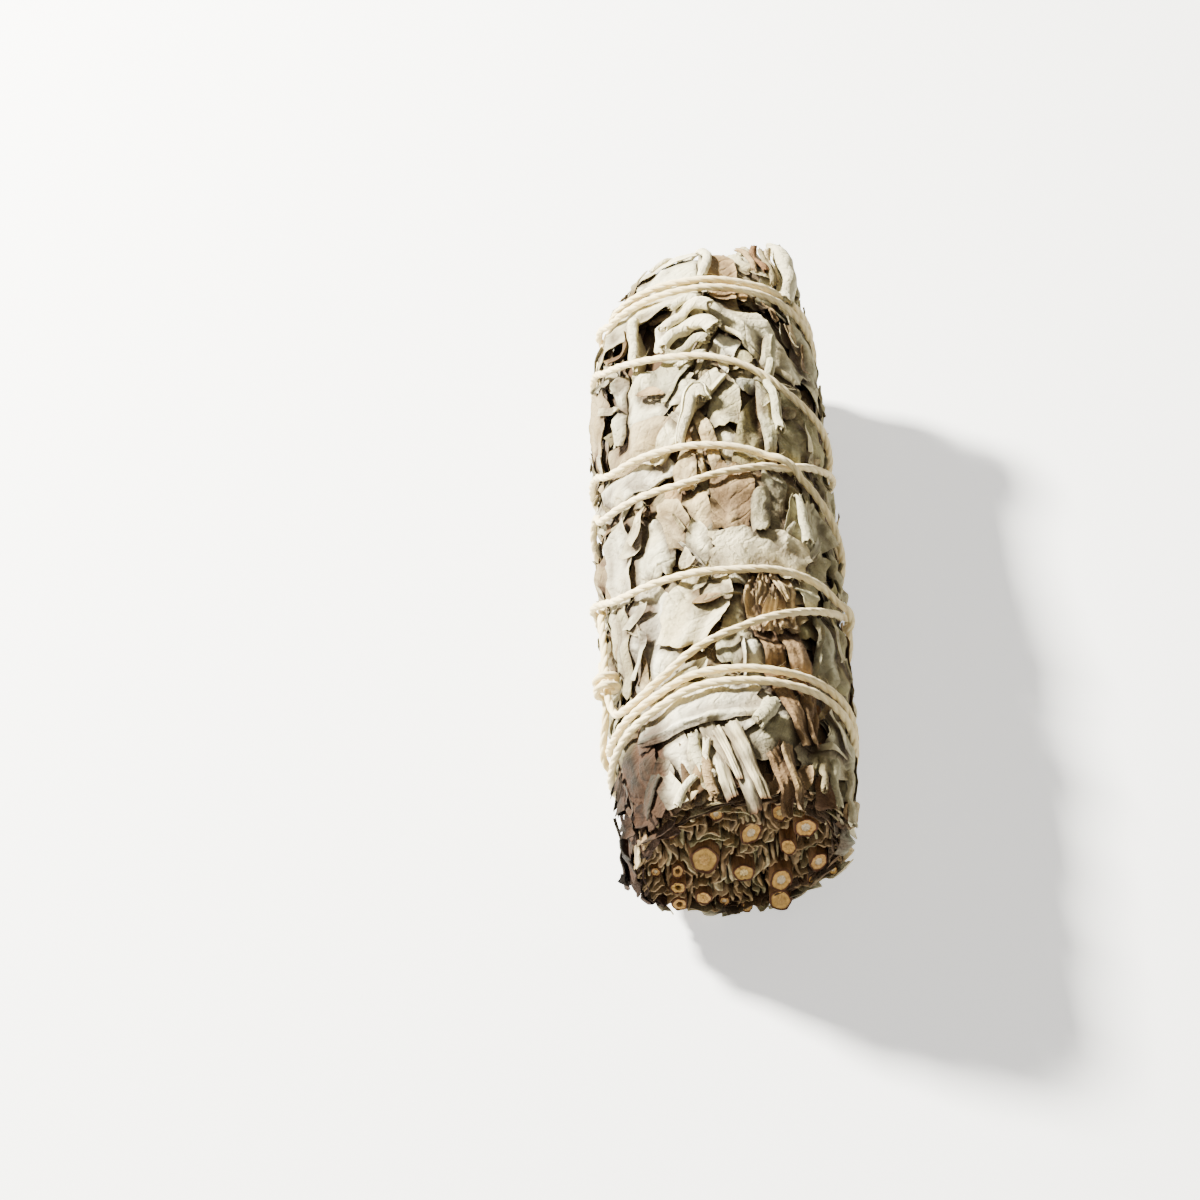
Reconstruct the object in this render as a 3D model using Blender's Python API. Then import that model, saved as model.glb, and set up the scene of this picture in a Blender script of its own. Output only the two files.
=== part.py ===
"""Sage smudge stick: dried white sage pressed into a round bundle, cut square at one end and bound with
cotton twine.

The bundle lies on its side along Y: the cut end faces -Y, the leafy tip faces +Y and Z points up. The
origin is on the surface that it lies on, under the middle of the bundle. Sizes are in millimetres until
solid() makes them metres. On the bundle a place is given as (around, along): degrees from the top line,
positive towards +X, and millimetres from the cut end.
"""

import math
import random
from collections import namedtuple

import bpy
import bmesh
import numpy as np

MM = 0.001

# The bundle's form
LENGTH = 105.0
BELLY_RADIUS = 18.8
BELLY_ALONG = 60.0
BUTT_PINCH = 3.0
DOME_END = 108.0
AXIS_HEIGHT = 17.2
CORE_DEPTH = 1.6
CORE_RINGS = (2.6, 11, 24, 40, 58, 74, 87, 95, 100, 103)
CORE_SIDES = 20
CORE_LUMPS = (0.22, 0.12)

# Leaf blades: where the tops of the three layers stand against the nominal surface, how much higher a
# leaf's far end is, and how deep its foot is. The first two layers pass under the twine, and the last
# swells between its strands.
LAYER_RISE = (-1.15, -0.75, 0.45)
TIP_RISE = (0.15, 0.15, 0.4)
FOOT_DEPTH = 2.5
LOOSE_THICK = 1.8
GAP = 0.35

# Twine
TWINE_RADIUS = 0.65
TWINE_RISE = 0.55
TWINE_SIDES = 6
TWINE_TOLERANCE = 0.3
TWINE_LONGEST = 9.0
STRAND_STEP = 2 * TWINE_RADIUS + 0.15
PARALLEL_REACH = 1.9
CROSSING_REACH = 1.5
FULL_LIFT = 0.6
SAME_STRETCH = 8.0
OUTER_SHARE = 0.6
FLOOR_GAP = 0.1
CHANNEL_RADIUS = 1.36
CHANNEL_POINTS = 14

SEED = 43

Leaf = namedtuple("Leaf", "along around length width heading layer shape")

# Leaves that show from the front, as they lie on the real stick. heading is the angle from the tip's
# direction towards +around. A lance is a whole leaf, a tip ends in a point, a torn one is broken at both
# ends, a strip is folded.
FRONT_LEAVES = [
    Leaf(98, -22, 17, 9, 5, 1, "torn"),
    Leaf(99, 0, 13, 2.4, 2, 2, "strip"),
    Leaf(98, 22, 12, 4.5, 8, 0, "torn"),
    Leaf(96, 38, 12, 5, 14, 1, "tip"),
    Leaf(90, -50, 20, 6, 98, 1, "tip"),
    Leaf(82, -43, 9, 2.6, 5, 1, "strip"),
    Leaf(84, -13, 9, 8, 70, 2, "lance"),
    Leaf(82, 24, 19, 8.5, 128, 2, "torn"),
    Leaf(86, 60, 22, 9, 170, 1, "torn"),
    Leaf(72, -35, 14, 11, 70, 1, "torn"),
    Leaf(72, -53, 14, 2.8, 0, 2, "strip"),
    Leaf(74, -20, 9, 6, 30, 2, "torn"),
    Leaf(65, -15, 18, 3.6, 37, 2, "strip"),
    Leaf(62.5, -44, 13, 7.5, 85, 1, "torn"),
    Leaf(60, -13, 12, 2.2, -8, 1, "strip"),
    Leaf(68, 4, 11, 4, 5, 1, "tip"),
    Leaf(63, 20, 14, 7, 6, 1, "tip"),
    Leaf(69, 30, 24, 2.8, 4, 2, "strip"),
    Leaf(66, 42, 20, 6, 0, 1, "torn"),
    Leaf(67, 60, 17, 7, 2, 0, "lance"),
    Leaf(71, -76, 18, 6, 10, 1, "torn"),
    Leaf(55.5, -48, 16, 6, 85, 2, "torn"),
    Leaf(55, -17, 8, 3.8, 0, 2, "strip"),
    Leaf(43, -58, 12, 5.5, 0, 2, "torn"),
    Leaf(42, -37, 9, 8, 15, 1, "torn"),
    Leaf(46, -15, 9, 4.5, 0, 1, "torn"),
    Leaf(49, 26, 12, 5.5, 0, 0, "torn"),
    Leaf(40, 27, 22, 8, 93, 2, "torn"),
    Leaf(46.5, 48, 9, 7, 60, 1, "torn"),
    Leaf(39.5, -13, 9, 4.5, 0, 2, "tip"),
    Leaf(38, 0, 8, 4.5, 6, 1, "tip"),
    Leaf(27, -40, 22, 10, -6, 1, "lance"),
    Leaf(30, -17, 12, 8, 20, 2, "torn"),
    Leaf(28, -60, 15, 3, 0, 2, "strip"),
    Leaf(26, 3, 11, 6, 10, 0, "torn"),
    Leaf(26, 52, 14, 5, 4, 1, "torn"),
    Leaf(15.5, -20, 15, 8.5, 86, 2, "torn"),
    Leaf(6, -38, 15, 8, 142, 1, "tip"),
    Leaf(12.5, 9, 7, 4, 50, 2, "torn"),
    Leaf(9.5, 19, 9, 6, 85, 1, "torn"),
    Leaf(8.5, 48, 10, 7, 80, 2, "torn"),
    Leaf(12, 72, 13, 7, 0, 1, "torn"),
    Leaf(4, -58, 10, 5, 0, 1, "torn"),
]

# Leaves along the underside, which the bundle lies on
UNDER_LEAVES = [
    Leaf(32, 178, 22, 9.5, 4, 1, "torn"),
    Leaf(53, 181, 24, 10, -3, 1, "torn"),
    Leaf(76, 180, 20, 9.5, 2, 1, "torn"),
]

# Random leaves cover the rest, in rows around the bundle: (along, leaves in the row, layer)
FILL_ROWS = [(12, 8, 1), (27, 8, 0), (43, 8, 1), (58, 8, 0), (74, 8, 1), (88, 8, 0), (97, 9, 1)]
FRONT_EDGE = 0.3
FILL_LENGTH = (17, 24)
FILL_WIDTH = (6.5, 9.5)
FILL_SWAY = 24
STRIP_WIDTH = 0.45

# Separate brown leaves, each in a bed of its own
BROWN_LEAVES = [
    Leaf(99.0, 11, 13, 5, 0, 1, "torn"),
    Leaf(48.5, 3, 12, 6.2, 4, 1, "torn"),
    Leaf(29.0, 84, 15, 5.5, -12, 1, "lance"),
    Leaf(67.0, 118, 16, 6, 14, 1, "lance"),
]

Stalk = namedtuple("Stalk", "x z diameter reach")

# Cut woody stalks, seen on the cut end from the front: x and z from the bundle's axis, and where each ends
# along it
STALKS = [
    Stalk(-5.0, -0.4, 4.1, 0.3),
    Stalk(0.7, -4.8, 3.0, 0.4),
    Stalk(6.1, -7.2, 3.3, 0.2),
    Stalk(-8.6, -3.8, 1.9, 0.9),
    Stalk(-11.7, -3.6, 1.4, 1.0),
    Stalk(-8.5, -7.6, 2.2, 0.6),
    Stalk(-4.8, -10.6, 2.4, 0.4),
    Stalk(-1.7, -12.6, 1.7, 0.8),
    Stalk(-8.2, -11.6, 2.2, 0.3),
    Stalk(1.6, -14.2, 1.8, 0.5),
    Stalk(6.3, -12.3, 3.6, 0.0),
    Stalk(8.8, 4.4, 3.2, 1.0),
    Stalk(6.6, 0.6, 2.4, 0.6),
    Stalk(5.0, 7.6, 2.2, 1.6),
    Stalk(11.2, -3.9, 2.8, 0.6),
    Stalk(10.8, -8.4, 1.6, 0.7),
    Stalk(13.4, -6.4, 1.5, 0.6),
    Stalk(10.6, 9.4, 2.4, 2.6),
    Stalk(5.8, 11.7, 2.6, 1.6),
    Stalk(1.4, 2.9, 3.2, 1.8),
    Stalk(-9.8, 4.8, 2.2, 1.8),
    Stalk(-3.6, 7.6, 2.0, 2.2),
]
STALK_RUN = (48.0, 66.0)
STALK_SIDES = 8

# Stalk stubs that stand out of the leafy tip: (around, radius from the axis, diameter, end along the bundle)
TIP_STUBS = [(48, 12.2, 3.0, 105.0), (36, 13.6, 2.2, 103.6), (-150, 8.0, 2.4, 104.4)]
TIP_STUB_RUN = 16.0

# The twine's route, (around, along): one strand that keeps turning the same way. A tail lies along the
# bundle, the strand climbs to the tip in two long turns, comes back in three, and doubles at both ends.
ROUTE = [
    (-85, 42), (-79, 37), (-77, 30), (-76, 24), (-72, 20), (-64, 18.6), (-50, 18.5), (-35, 19.9), (-20, 22.3),
    (0, 25.2), (20, 28.1), (40, 30.7), (60, 33.4), (90, 38), (180, 46.5), (270, 56.6), (290, 53.9), (305, 52.5),
    (338, 51.4), (360, 52.7), (380, 54.6), (400, 57), (420, 60), (450, 65), (540, 79), (630, 94), (660, 95.4),
    (690, 94.4), (720, 93.6), (760, 93.7), (780, 94.2), (810, 95), (900, 96.4), (990, 96.2), (1020, 93.4),
    (1045, 92), (1080, 91.5), (1120, 91.8), (1140, 91.6), (1170, 91), (1260, 89.5), (1350, 87), (1380, 81.9),
    (1400, 79), (1420, 77), (1440, 75.8), (1460, 73.8), (1480, 71), (1500, 69.9), (1530, 69), (1620, 68.4),
    (1710, 65.4), (1740, 60.4), (1760, 59.2), (1800, 57.9), (1820, 56.8), (1840, 54.5), (1860, 51.4), (1890, 48),
    (1980, 44.2), (2070, 40.8), (2100, 36.9), (2120, 35.6), (2160, 35.2), (2180, 35.8), (2200, 36), (2220, 35.4),
    (2250, 33.4), (2340, 26), (2430, 17.2), (2460, 16.6), (2480, 17.4), (2500, 18.8), (2520, 19), (2560, 18.9),
    (2580, 18.4), (2610, 17), (2700, 14.9), (2790, 13.6), (2820, 14.5), (2840, 15.4), (2860, 16.8), (2880, 17.1),
    (2920, 17), (2940, 16.3), (2970, 14.8), (3060, 13.1), (3090, 13.6), (3118, 15.3), (3140, 18.2),
]
ROUTE_TURNS = 9
KNOT_AROUND = -76.5
KNOT_FROM = 24.0
KNOT_TURNS = 2
KNOT_POINTS = 10
KNOT_PITCH = 1.6
KNOT_COIL = 1.55
KNOT_RISE = 0.75
KNOT_LIFTS = 5.5
KNOT_EASE = 2.5
# Before and after the coil: (around from the knot, along, rise)
KNOT_APPROACH = [(-9.5, 21.5, 0.8)]
KNOT_TAIL = [(-12, 29.5, 0.5), (-18, 33.0, 0.4)]

# A dried flower twig lies under the twine: its calyx, and two arms that run down to the cut end
TWIG_ARMS = [
    ([(18, 34.5), (20, 28), (22, 21), (23, 14.5)], (1.5, 1.2)),
    ([(22, 33), (27, 26), (32, 19), (35, 12.5)], (1.3, 1.3)),
]
TWIG_CALYX = Leaf(30.6, 18, 8.6, 6.4, -8, 2, "lance")
TWIG_SINK = 0.35

# A leaf base that splits into three pale leaf stalks over the cut end's upper edge
FORK_ARMS = [
    ([(-16, 12), (-13, 6.5), (-10, 1.2)], (0.95, 0.85)),
    ([(-9, 12), (-4, 6.5), (2, 1.0)], (0.9, 0.8)),
    ([(-4, 12), (3, 6.0), (7, 1.6)], (1.0, 0.9)),
]
FORK_BASE = Leaf(11.6, -9, 5.2, 6.4, 4, 2, "torn")
FORK_SINK = 0.1
ARM_SIDES = 6

# Cut edges of leaves in the cut end: how thick, how long each of their bends is, and where they start and
# end along
RIBBONS = 26
RIBBON_THICK = 0.75
RIBBON_BENDS = 3
RIBBON_STEP = (1.6, 2.6)
RIBBON_FRONT = (0.5, 1.9)
RIBBON_FOOT = 4.2
RIBBON_RIM = 1.6


def radius_at(along):
    """The bundle's nominal radius: pinched at the cut end, widest at the belly and domed at the tip."""
    if along < BELLY_ALONG:
        return BELLY_RADIUS - BUTT_PINCH * (1 - max(along, 0) / BELLY_ALONG) ** 2.2
    t = min((along - BELLY_ALONG) / (DOME_END - BELLY_ALONG), 0.995)
    return BELLY_RADIUS * math.sqrt(1 - t**6)


def on_bundle(around, along, rise=0.0):
    """The point this far above the nominal surface."""
    a = math.radians(around)
    r = radius_at(along) + rise
    return (r * math.sin(a), along - LENGTH / 2, AXIS_HEIGHT + r * math.cos(a))


def material(name, colour, roughness):
    made = bpy.data.materials.new(name)
    made.use_nodes = True
    shader = made.node_tree.nodes["Principled BSDF"]
    shader.inputs["Base Color"].default_value = (*colour, 1)
    shader.inputs["Roughness"].default_value = roughness
    shader.inputs["Metallic"].default_value = 0
    return made


def solid(name, points, faces, finish=None):
    """A mesh object from points in millimetres."""
    mesh = bpy.data.meshes.new(name)
    mesh.from_pydata([tuple(c * MM for c in p) for p in points], [], faces)
    shape = bmesh.new()
    shape.from_mesh(mesh)
    bmesh.ops.recalc_face_normals(shape, faces=shape.faces)
    shape.to_mesh(mesh)
    shape.free()
    if finish:
        mesh.materials.append(finish)
    made = bpy.data.objects.new(name, mesh)
    bpy.context.scene.collection.objects.link(made)
    return made


def remove(obj):
    bpy.data.objects.remove(obj)


def combine(target, operation, others):
    """One Boolean of target with the other objects, which are then removed.

    The exact solver leaves open edges where this many thin blades cross, so all use the manifold one.
    """
    group = bpy.data.collections.new("operands")
    bpy.context.scene.collection.children.link(group)
    for other in others:
        bpy.context.scene.collection.objects.unlink(other)
        group.objects.link(other)
    modifier = target.modifiers.new("combine", "BOOLEAN")
    modifier.operation = operation
    modifier.operand_type = "COLLECTION"
    modifier.collection = group
    modifier.solver = "MANIFOLD"
    bpy.context.view_layer.update()
    graph = bpy.context.evaluated_depsgraph_get()
    mesh = bpy.data.meshes.new_from_object(target.evaluated_get(graph))
    target.modifiers.clear()
    target.data = mesh
    for other in others:
        remove(other)
    bpy.data.collections.remove(group)
    return target


def keep_main_body(obj):
    """Drops loose scraps and fills sealed hollows: only the body with the largest volume stays."""
    shape = bmesh.new()
    shape.from_mesh(obj.data)
    left = set(shape.faces)
    bodies = []
    while left:
        stack = [left.pop()]
        body = []
        while stack:
            face = stack.pop()
            body.append(face)
            for edge in face.edges:
                for other in edge.link_faces if edge.is_manifold else ():
                    if other in left:
                        left.remove(other)
                        stack.append(other)
        volume = sum(face.verts[0].co.dot(face.normal) * face.calc_area() for face in body)
        bodies.append((volume, body))
    bodies.sort(key=lambda pair: pair[0])
    loose = [face for _, body in bodies[:-1] for face in body]
    bmesh.ops.delete(shape, geom=loose, context="FACES")
    shape.to_mesh(obj.data)
    shape.free()
    return obj


def wall_of_rings(rings, sides):
    """The faces of a closed tube whose points are given ring by ring."""
    faces = [tuple(range(sides)), tuple(range((rings - 1) * sides, rings * sides))]
    for i in range(rings - 1):
        for k in range(sides):
            a, b = i * sides + k, i * sides + (k + 1) % sides
            faces.append((a, b, b + sides, a + sides))
    return faces


def outward(point):
    """From the bundle's axis to this point."""
    return np.array([point[0], 0, point[2] - AXIS_HEIGHT])


def tube(name, path, radii, sides, finish=None, upright=False):
    """A closed tube along points in millimetres.

    Its cross-section is carried along without twisting. An upright one keeps a corner away from the
    bundle's axis.
    """
    path = [np.array(p, float) for p in path]
    if len(radii) != len(path):
        radii = np.interp(np.linspace(0, 1, len(path)), np.linspace(0, 1, len(radii)), radii)
    points = []
    across = None
    for i, centre in enumerate(path):
        ahead = path[min(i + 1, len(path) - 1)] - path[max(i - 1, 0)]
        ahead /= np.linalg.norm(ahead)
        if upright:
            across = outward(centre)
        elif across is None:
            across = np.cross(ahead, (0.31, 0.17, 0.94))
        across = across - ahead * (across @ ahead)
        across /= np.linalg.norm(across)
        other = np.cross(ahead, across)
        for k in range(sides):
            a = math.tau * k / sides
            points.append(centre + radii[i] * (math.cos(a) * across + math.sin(a) * other))
    return solid(name, points, wall_of_rings(len(path), sides), finish)


def slab(name, top, bottom, finish=None):
    """A closed solid between two grids of points, given as rows."""
    rows, columns = len(top), len(top[0])
    points = [p for row in top for p in row] + [p for row in bottom for p in row]
    under = rows * columns
    faces = []
    for i in range(rows - 1):
        for j in range(columns - 1):
            a = i * columns + j
            quad = (a, a + 1, a + columns + 1, a + columns)
            for tri in ((quad[0], quad[1], quad[2]), (quad[0], quad[2], quad[3])):
                faces.append(tri)
                faces.append(tuple(under + k for k in reversed(tri)))
    edge = list(range(columns))
    edge += [i * columns + columns - 1 for i in range(1, rows)]
    edge += [(rows - 1) * columns + j for j in range(columns - 2, -1, -1)]
    edge += [i * columns for i in range(rows - 2, 0, -1)]
    for a, b in zip(edge, edge[1:] + edge[:1]):
        faces.append((a, under + a, under + b, b))
    return solid(name, points, faces, finish)


# Half width of each row of a blade, as a share of the leaf's, and where the row lies, from -0.5 to 0.5 of
# its length
OUTLINES = {
    "lance": [(-0.5, 0.16), (-0.2, 0.9), (0.12, 1.0), (0.5, 0.12)],
    "tip": [(-0.5, 0.75), (0.0, 1.0), (0.5, 0.12)],
    "torn": [(-0.5, 0.8), (0.0, 1.0), (0.5, 0.75)],
    "strip": [(-0.5, 0.7), (0.0, 1.0), (0.5, 0.8)],
}
RAGGED = 0.14
NARROW = 7.6
RIDGE = 0.12


def blade(name, leaf, rng, loose=False, grow=0.0, finish=None):
    """One leaf as a thin slab that follows the bundle, its foot sunk and its far end a little proud.

    A loose one has an even thickness. With grow it is the bed that a loose leaf lies in: wider, deeper and
    open above.
    """
    turn = math.radians(leaf.heading)
    rise = LAYER_RISE[leaf.layer] + rng.uniform(-0.1, 0.1)
    sides = (-1, 1) if leaf.width < NARROW else (-1, 0, 1)
    top, bottom = [], []
    for share, half in OUTLINES[leaf.shape]:
        ragged = [rng.uniform(-RAGGED, RAGGED) if leaf.shape == "torn" else 0 for _ in sides]
        top_row, bottom_row = [], []
        for side, notch in zip(sides, ragged):
            v = side * (half * leaf.width / 2 + grow)
            u = share * leaf.length + (notch * leaf.width if abs(share) == 0.5 else 0)
            u += math.copysign(grow, share) if abs(share) == 0.5 else 0
            along = leaf.along + u * math.cos(turn) - v * math.sin(turn)
            along = min(max(along, 0.6), LENGTH - 0.4)
            arc = u * math.sin(turn) + v * math.cos(turn)
            around = leaf.around + math.degrees(arc / radius_at(leaf.along))
            height = rise + RIDGE * (side == 0) + TIP_RISE[leaf.layer] * (share + 0.5)
            foot = height - LOOSE_THICK if loose else -FOOT_DEPTH
            top_row.append(on_bundle(around, along, height + 10 * grow))
            bottom_row.append(on_bundle(around, along, foot - grow))
        top.append(top_row)
        bottom.append(bottom_row)
    return slab(name, top, bottom, finish)


def core():
    """The packed middle of the bundle, which the leaves stand out of."""
    points = []
    for i, along in enumerate(CORE_RINGS):
        for k in range(CORE_SIDES):
            around = 360 * k / CORE_SIDES
            lump = CORE_LUMPS[0] * math.sin(3 * k + 1.7 * i) + CORE_LUMPS[1] * math.cos(5 * k - i)
            points.append(on_bundle(around, along, lump - CORE_DEPTH))
    return solid("leaf_bundle", points, wall_of_rings(len(CORE_RINGS), CORE_SIDES), LEAF_GREEN)


def fill_leaves(rng):
    """Leaves all round the bundle, under and between the front ones."""
    made = []
    for along, count, layer in FILL_ROWS:
        start = rng.uniform(0, 360 / count)
        for k in range(count):
            around = start + 360 * k / count + rng.uniform(-9, 9)
            if math.cos(math.radians(around)) > FRONT_EDGE:
                continue
            length = rng.uniform(*FILL_LENGTH)
            width = rng.uniform(*FILL_WIDTH)
            heading = rng.gauss(0, FILL_SWAY) + rng.choice((0, 0, 180))
            shape = rng.choice(("lance", "torn", "tip", "strip"))
            width *= STRIP_WIDTH if shape == "strip" else 1
            made.append(Leaf(along + rng.uniform(-4, 4), around, length, width, heading, layer, shape))
    return made


def ribbons(rng):
    """Cut edges of folded leaves, which stand out of the cut end as wavy walls."""
    made = []
    for _ in range(RIBBONS):
        reach = radius_at(0) - RIBBON_RIM
        r = reach * math.sqrt(rng.uniform(0.02, 1))
        a = rng.uniform(0, math.tau)
        x, z = r * math.sin(a), r * math.cos(a)
        heading = a + math.pi / 2 + rng.gauss(0, 0.7)
        front = rng.uniform(*RIBBON_FRONT)
        sides = ([], [])
        for _ in range(RIBBON_BENDS + 1):
            for row, offset in zip(sides, (-0.5, 0.5)):
                px = x + offset * RIBBON_THICK * math.cos(heading)
                pz = z - offset * RIBBON_THICK * math.sin(heading)
                row.append((px, pz))
            step = rng.uniform(*RIBBON_STEP)
            x += step * math.sin(heading)
            z += step * math.cos(heading)
            heading += rng.gauss(0, 0.6)
            far = math.hypot(x, z)
            if far > reach:
                x, z = x * reach / far, z * reach / far
        walls = []
        for row in sides:
            for y in (front, RIBBON_FOOT):
                walls.append([(px, y - LENGTH / 2, AXIS_HEIGHT + pz) for px, pz in row])
        made.append(slab("ribbon", walls[:2], walls[2:]))
    return made


def smooth_route(points, step):
    """A Catmull-Rom curve through points, read about every step millimetres."""
    points = [np.array(p, float) for p in points]
    ends = [2 * points[0] - points[1]] + points + [2 * points[-1] - points[-2]]
    made = []
    for p0, p1, p2, p3 in zip(ends, ends[1:], ends[2:], ends[3:]):
        count = max(2, int(np.linalg.norm(p2 - p1) / step))
        for t in np.arange(count) / count:
            made.append(
                0.5 * (2 * p1 + (p2 - p0) * t + (2 * p0 - 5 * p1 + 4 * p2 - p3) * t**2
                       + (3 * p1 - p0 - 3 * p2 + p3) * t**3)
            )
    made.append(points[-1])
    return np.array(made)


def unrolled(around, along, rise=0.0):
    """A place as millimetres of arc, along and rise, in which the strand's curves are drawn."""
    return (math.radians(around) * BELLY_RADIUS, along, rise)


def eased(x):
    x = np.clip(x, 0, 1)
    return x * x * (3 - 2 * x)


def strand_rises(path):
    """How far each point of the strand stands from the surface: a later turn passes over an earlier one.

    At the bottom nothing may reach below the flat that the bundle lies on, so there the earlier turn dips
    instead.
    """
    arc, along = path[:, 0], path[:, 1]
    turn = math.tau * BELLY_RADIUS
    run = np.concatenate([[0], np.cumsum(np.hypot(np.diff(arc), np.diff(along)))])
    apart = (arc[:, None] - arc[None, :] + turn / 2) % turn - turn / 2
    distance = np.hypot(apart, along[:, None] - along[None, :])
    distance[np.abs(run[:, None] - run[None, :]) < SAME_STRETCH] = turn
    heading = np.arctan2(np.gradient(along), np.gradient(arc))
    parallel = np.abs(np.cos(heading[:, None] - heading[None, :]))
    reach = PARALLEL_REACH + CROSSING_REACH * (1 - parallel)
    near = eased((reach - distance) / (reach - FULL_LIFT))
    over = np.tril(near).max(axis=1)
    under = np.triu(near).max(axis=1)
    upright = np.cos(arc / BELLY_RADIUS)
    share = OUTER_SHARE * eased((upright + 0.9) / 0.4)
    return TWINE_RISE + STRAND_STEP * (over * share - under * (1 - share))


def placed(path, rises):
    """Points on the bundle, kept off the surface that it lies on."""
    made = []
    for (arc, along), rise in zip(path, rises):
        around = math.degrees(arc / BELLY_RADIUS)
        upright = math.cos(math.radians(around))
        if upright < 0:
            lowest = (AXIS_HEIGHT - TWINE_RADIUS - FLOOR_GAP) / -upright - radius_at(along)
            rise = min(rise, lowest + min(rise - TWINE_RISE, 0))
        made.append(on_bundle(around, along, rise))
    return made


def thinned(points, tolerance, longest):
    """The fewest of these points that keep within tolerance of them all."""
    points = [np.array(p) for p in points]
    kept = [0]
    while kept[-1] < len(points) - 1:
        start = kept[-1]
        end = start + 1
        while end + 1 < len(points):
            chord = points[end + 1] - points[start]
            length = np.linalg.norm(chord)
            between = np.array(points[start + 1 : end + 1]) - points[start]
            off = between - np.outer(between @ chord / length**2, chord)
            if length > longest or np.linalg.norm(off, axis=1).max() > tolerance:
                break
            end += 1
        kept.append(end)
    return [points[i] for i in kept]


def knot_path():
    """The strand's last stretch: a coil round its own tail, and the loose end."""
    around = KNOT_AROUND + 360 * ROUTE_TURNS
    coil = []
    for k in range(KNOT_POINTS * KNOT_TURNS + 1):
        a = math.pi - math.tau * k / KNOT_POINTS
        arc = unrolled(around, 0)[0] + KNOT_COIL * math.cos(a)
        coil.append((arc, KNOT_FROM + KNOT_PITCH * k / KNOT_POINTS, KNOT_RISE + KNOT_COIL * math.sin(a)))
    before = [unrolled(around + a, s, rise) for a, s, rise in KNOT_APPROACH]
    after = [unrolled(around + a, s, rise) for a, s, rise in KNOT_TAIL]
    return before + coil + after


def twine_path():
    """The strand's centreline. The tail lifts where the knot's coil goes round it."""
    wound = smooth_route([unrolled(*place)[:2] for place in ROUTE], 0.8)
    rises = strand_rises(wound)
    first_turn = wound[:, 0] < 0
    middle = KNOT_FROM + KNOT_PITCH * KNOT_TURNS / 2
    lift = (KNOT_RISE - TWINE_RISE) * eased((KNOT_LIFTS - np.abs(wound[:, 1] - middle)) / KNOT_EASE)
    points = placed(wound, rises + first_turn * lift)
    last = (*wound[-1], rises[-1])
    end = smooth_route([last] + knot_path(), 0.6)[1:]
    return points + [on_bundle(math.degrees(arc / BELLY_RADIUS), along, rise) for arc, along, rise in end]


def surface_arm(route, radii, sink, grow=0.0, finish=None):
    """A thin stalk that lies half sunk in the bundle's surface."""
    curve = smooth_route([unrolled(*place)[:2] for place in route], 2.0)
    path = [on_bundle(math.degrees(arc / BELLY_RADIUS), along, -sink) for arc, along in curve]
    path = thinned(path, 0.05, 6.0)
    if grow:
        path = longer(path, grow, 3)
    wide = [(r + grow) / (math.cos(math.pi / ARM_SIDES) if grow else 1) for r in radii]
    return tube("arm", path, wide, ARM_SIDES, finish)


def cluster(name, base, arms, sink, finish, seed):
    """A leafy base and the thin stalks that grow from it, as one body, and the bed that they lie in."""
    body = blade(name, base, random.Random(seed), True, finish=finish)
    parts = [surface_arm(route, radii, sink) for route, radii in arms]
    keep_main_body(combine(body, "UNION", parts))
    bed = [blade("bed", base, random.Random(seed), True, GAP)]
    bed += [surface_arm(route, radii, sink, grow=GAP) for route, radii in arms]
    return body, bed


def stalk(name, place, run, diameter, grow=0.0, open_by=(6, 0)):
    """A straight woody stalk inside the bundle, or with grow the plain hole that it stands in.

    A hole runs past the stalk by open_by, at its near and its far end.
    """
    x, z, reach = place
    radius = (diameter / 2 + grow) / (math.cos(math.pi / STALK_SIDES) if grow else 1)
    start, end = reach, reach + run
    if grow:
        start -= max(open_by[0], grow)
        end += max(open_by[1], grow)
    path = [(x, start - LENGTH / 2, AXIS_HEIGHT + z), (x, end - LENGTH / 2, AXIS_HEIGHT + z)]
    return tube(name, path, (radius, radius), STALK_SIDES, STALK_BROWN)


def floor_block():
    """Everything below the surface that the bundle lies on."""
    wide, deep = BELLY_RADIUS * 2, BELLY_RADIUS
    corners = [(x, y, z) for x in (-wide, wide) for y in (-LENGTH, LENGTH) for z in (-deep, 0)]
    faces = [(0, 1, 3, 2), (4, 5, 7, 6), (0, 1, 5, 4), (2, 3, 7, 6), (0, 2, 6, 4), (1, 3, 7, 5)]
    return solid("floor", corners, faces)


def longer(path, start, end):
    """The path with its two ends moved outwards."""
    path = [np.array(p, float) for p in path]
    first = path[0] - path[1]
    last = path[-1] - path[-2]
    path[0] = path[0] + first * start / np.linalg.norm(first)
    path[-1] = path[-1] + last * end / np.linalg.norm(last)
    return path


def channels(route):
    """The groove that the twine lies in.

    Square rods on edge, in pieces of less than one turn that overlap a little.
    """
    made = []
    for i in range(0, len(route) - 1, CHANNEL_POINTS):
        section = longer(route[i : i + CHANNEL_POINTS + 1], GAP, GAP)
        made.append(tube("channel", section, [CHANNEL_RADIUS], 4, upright=True))
    return made


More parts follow.
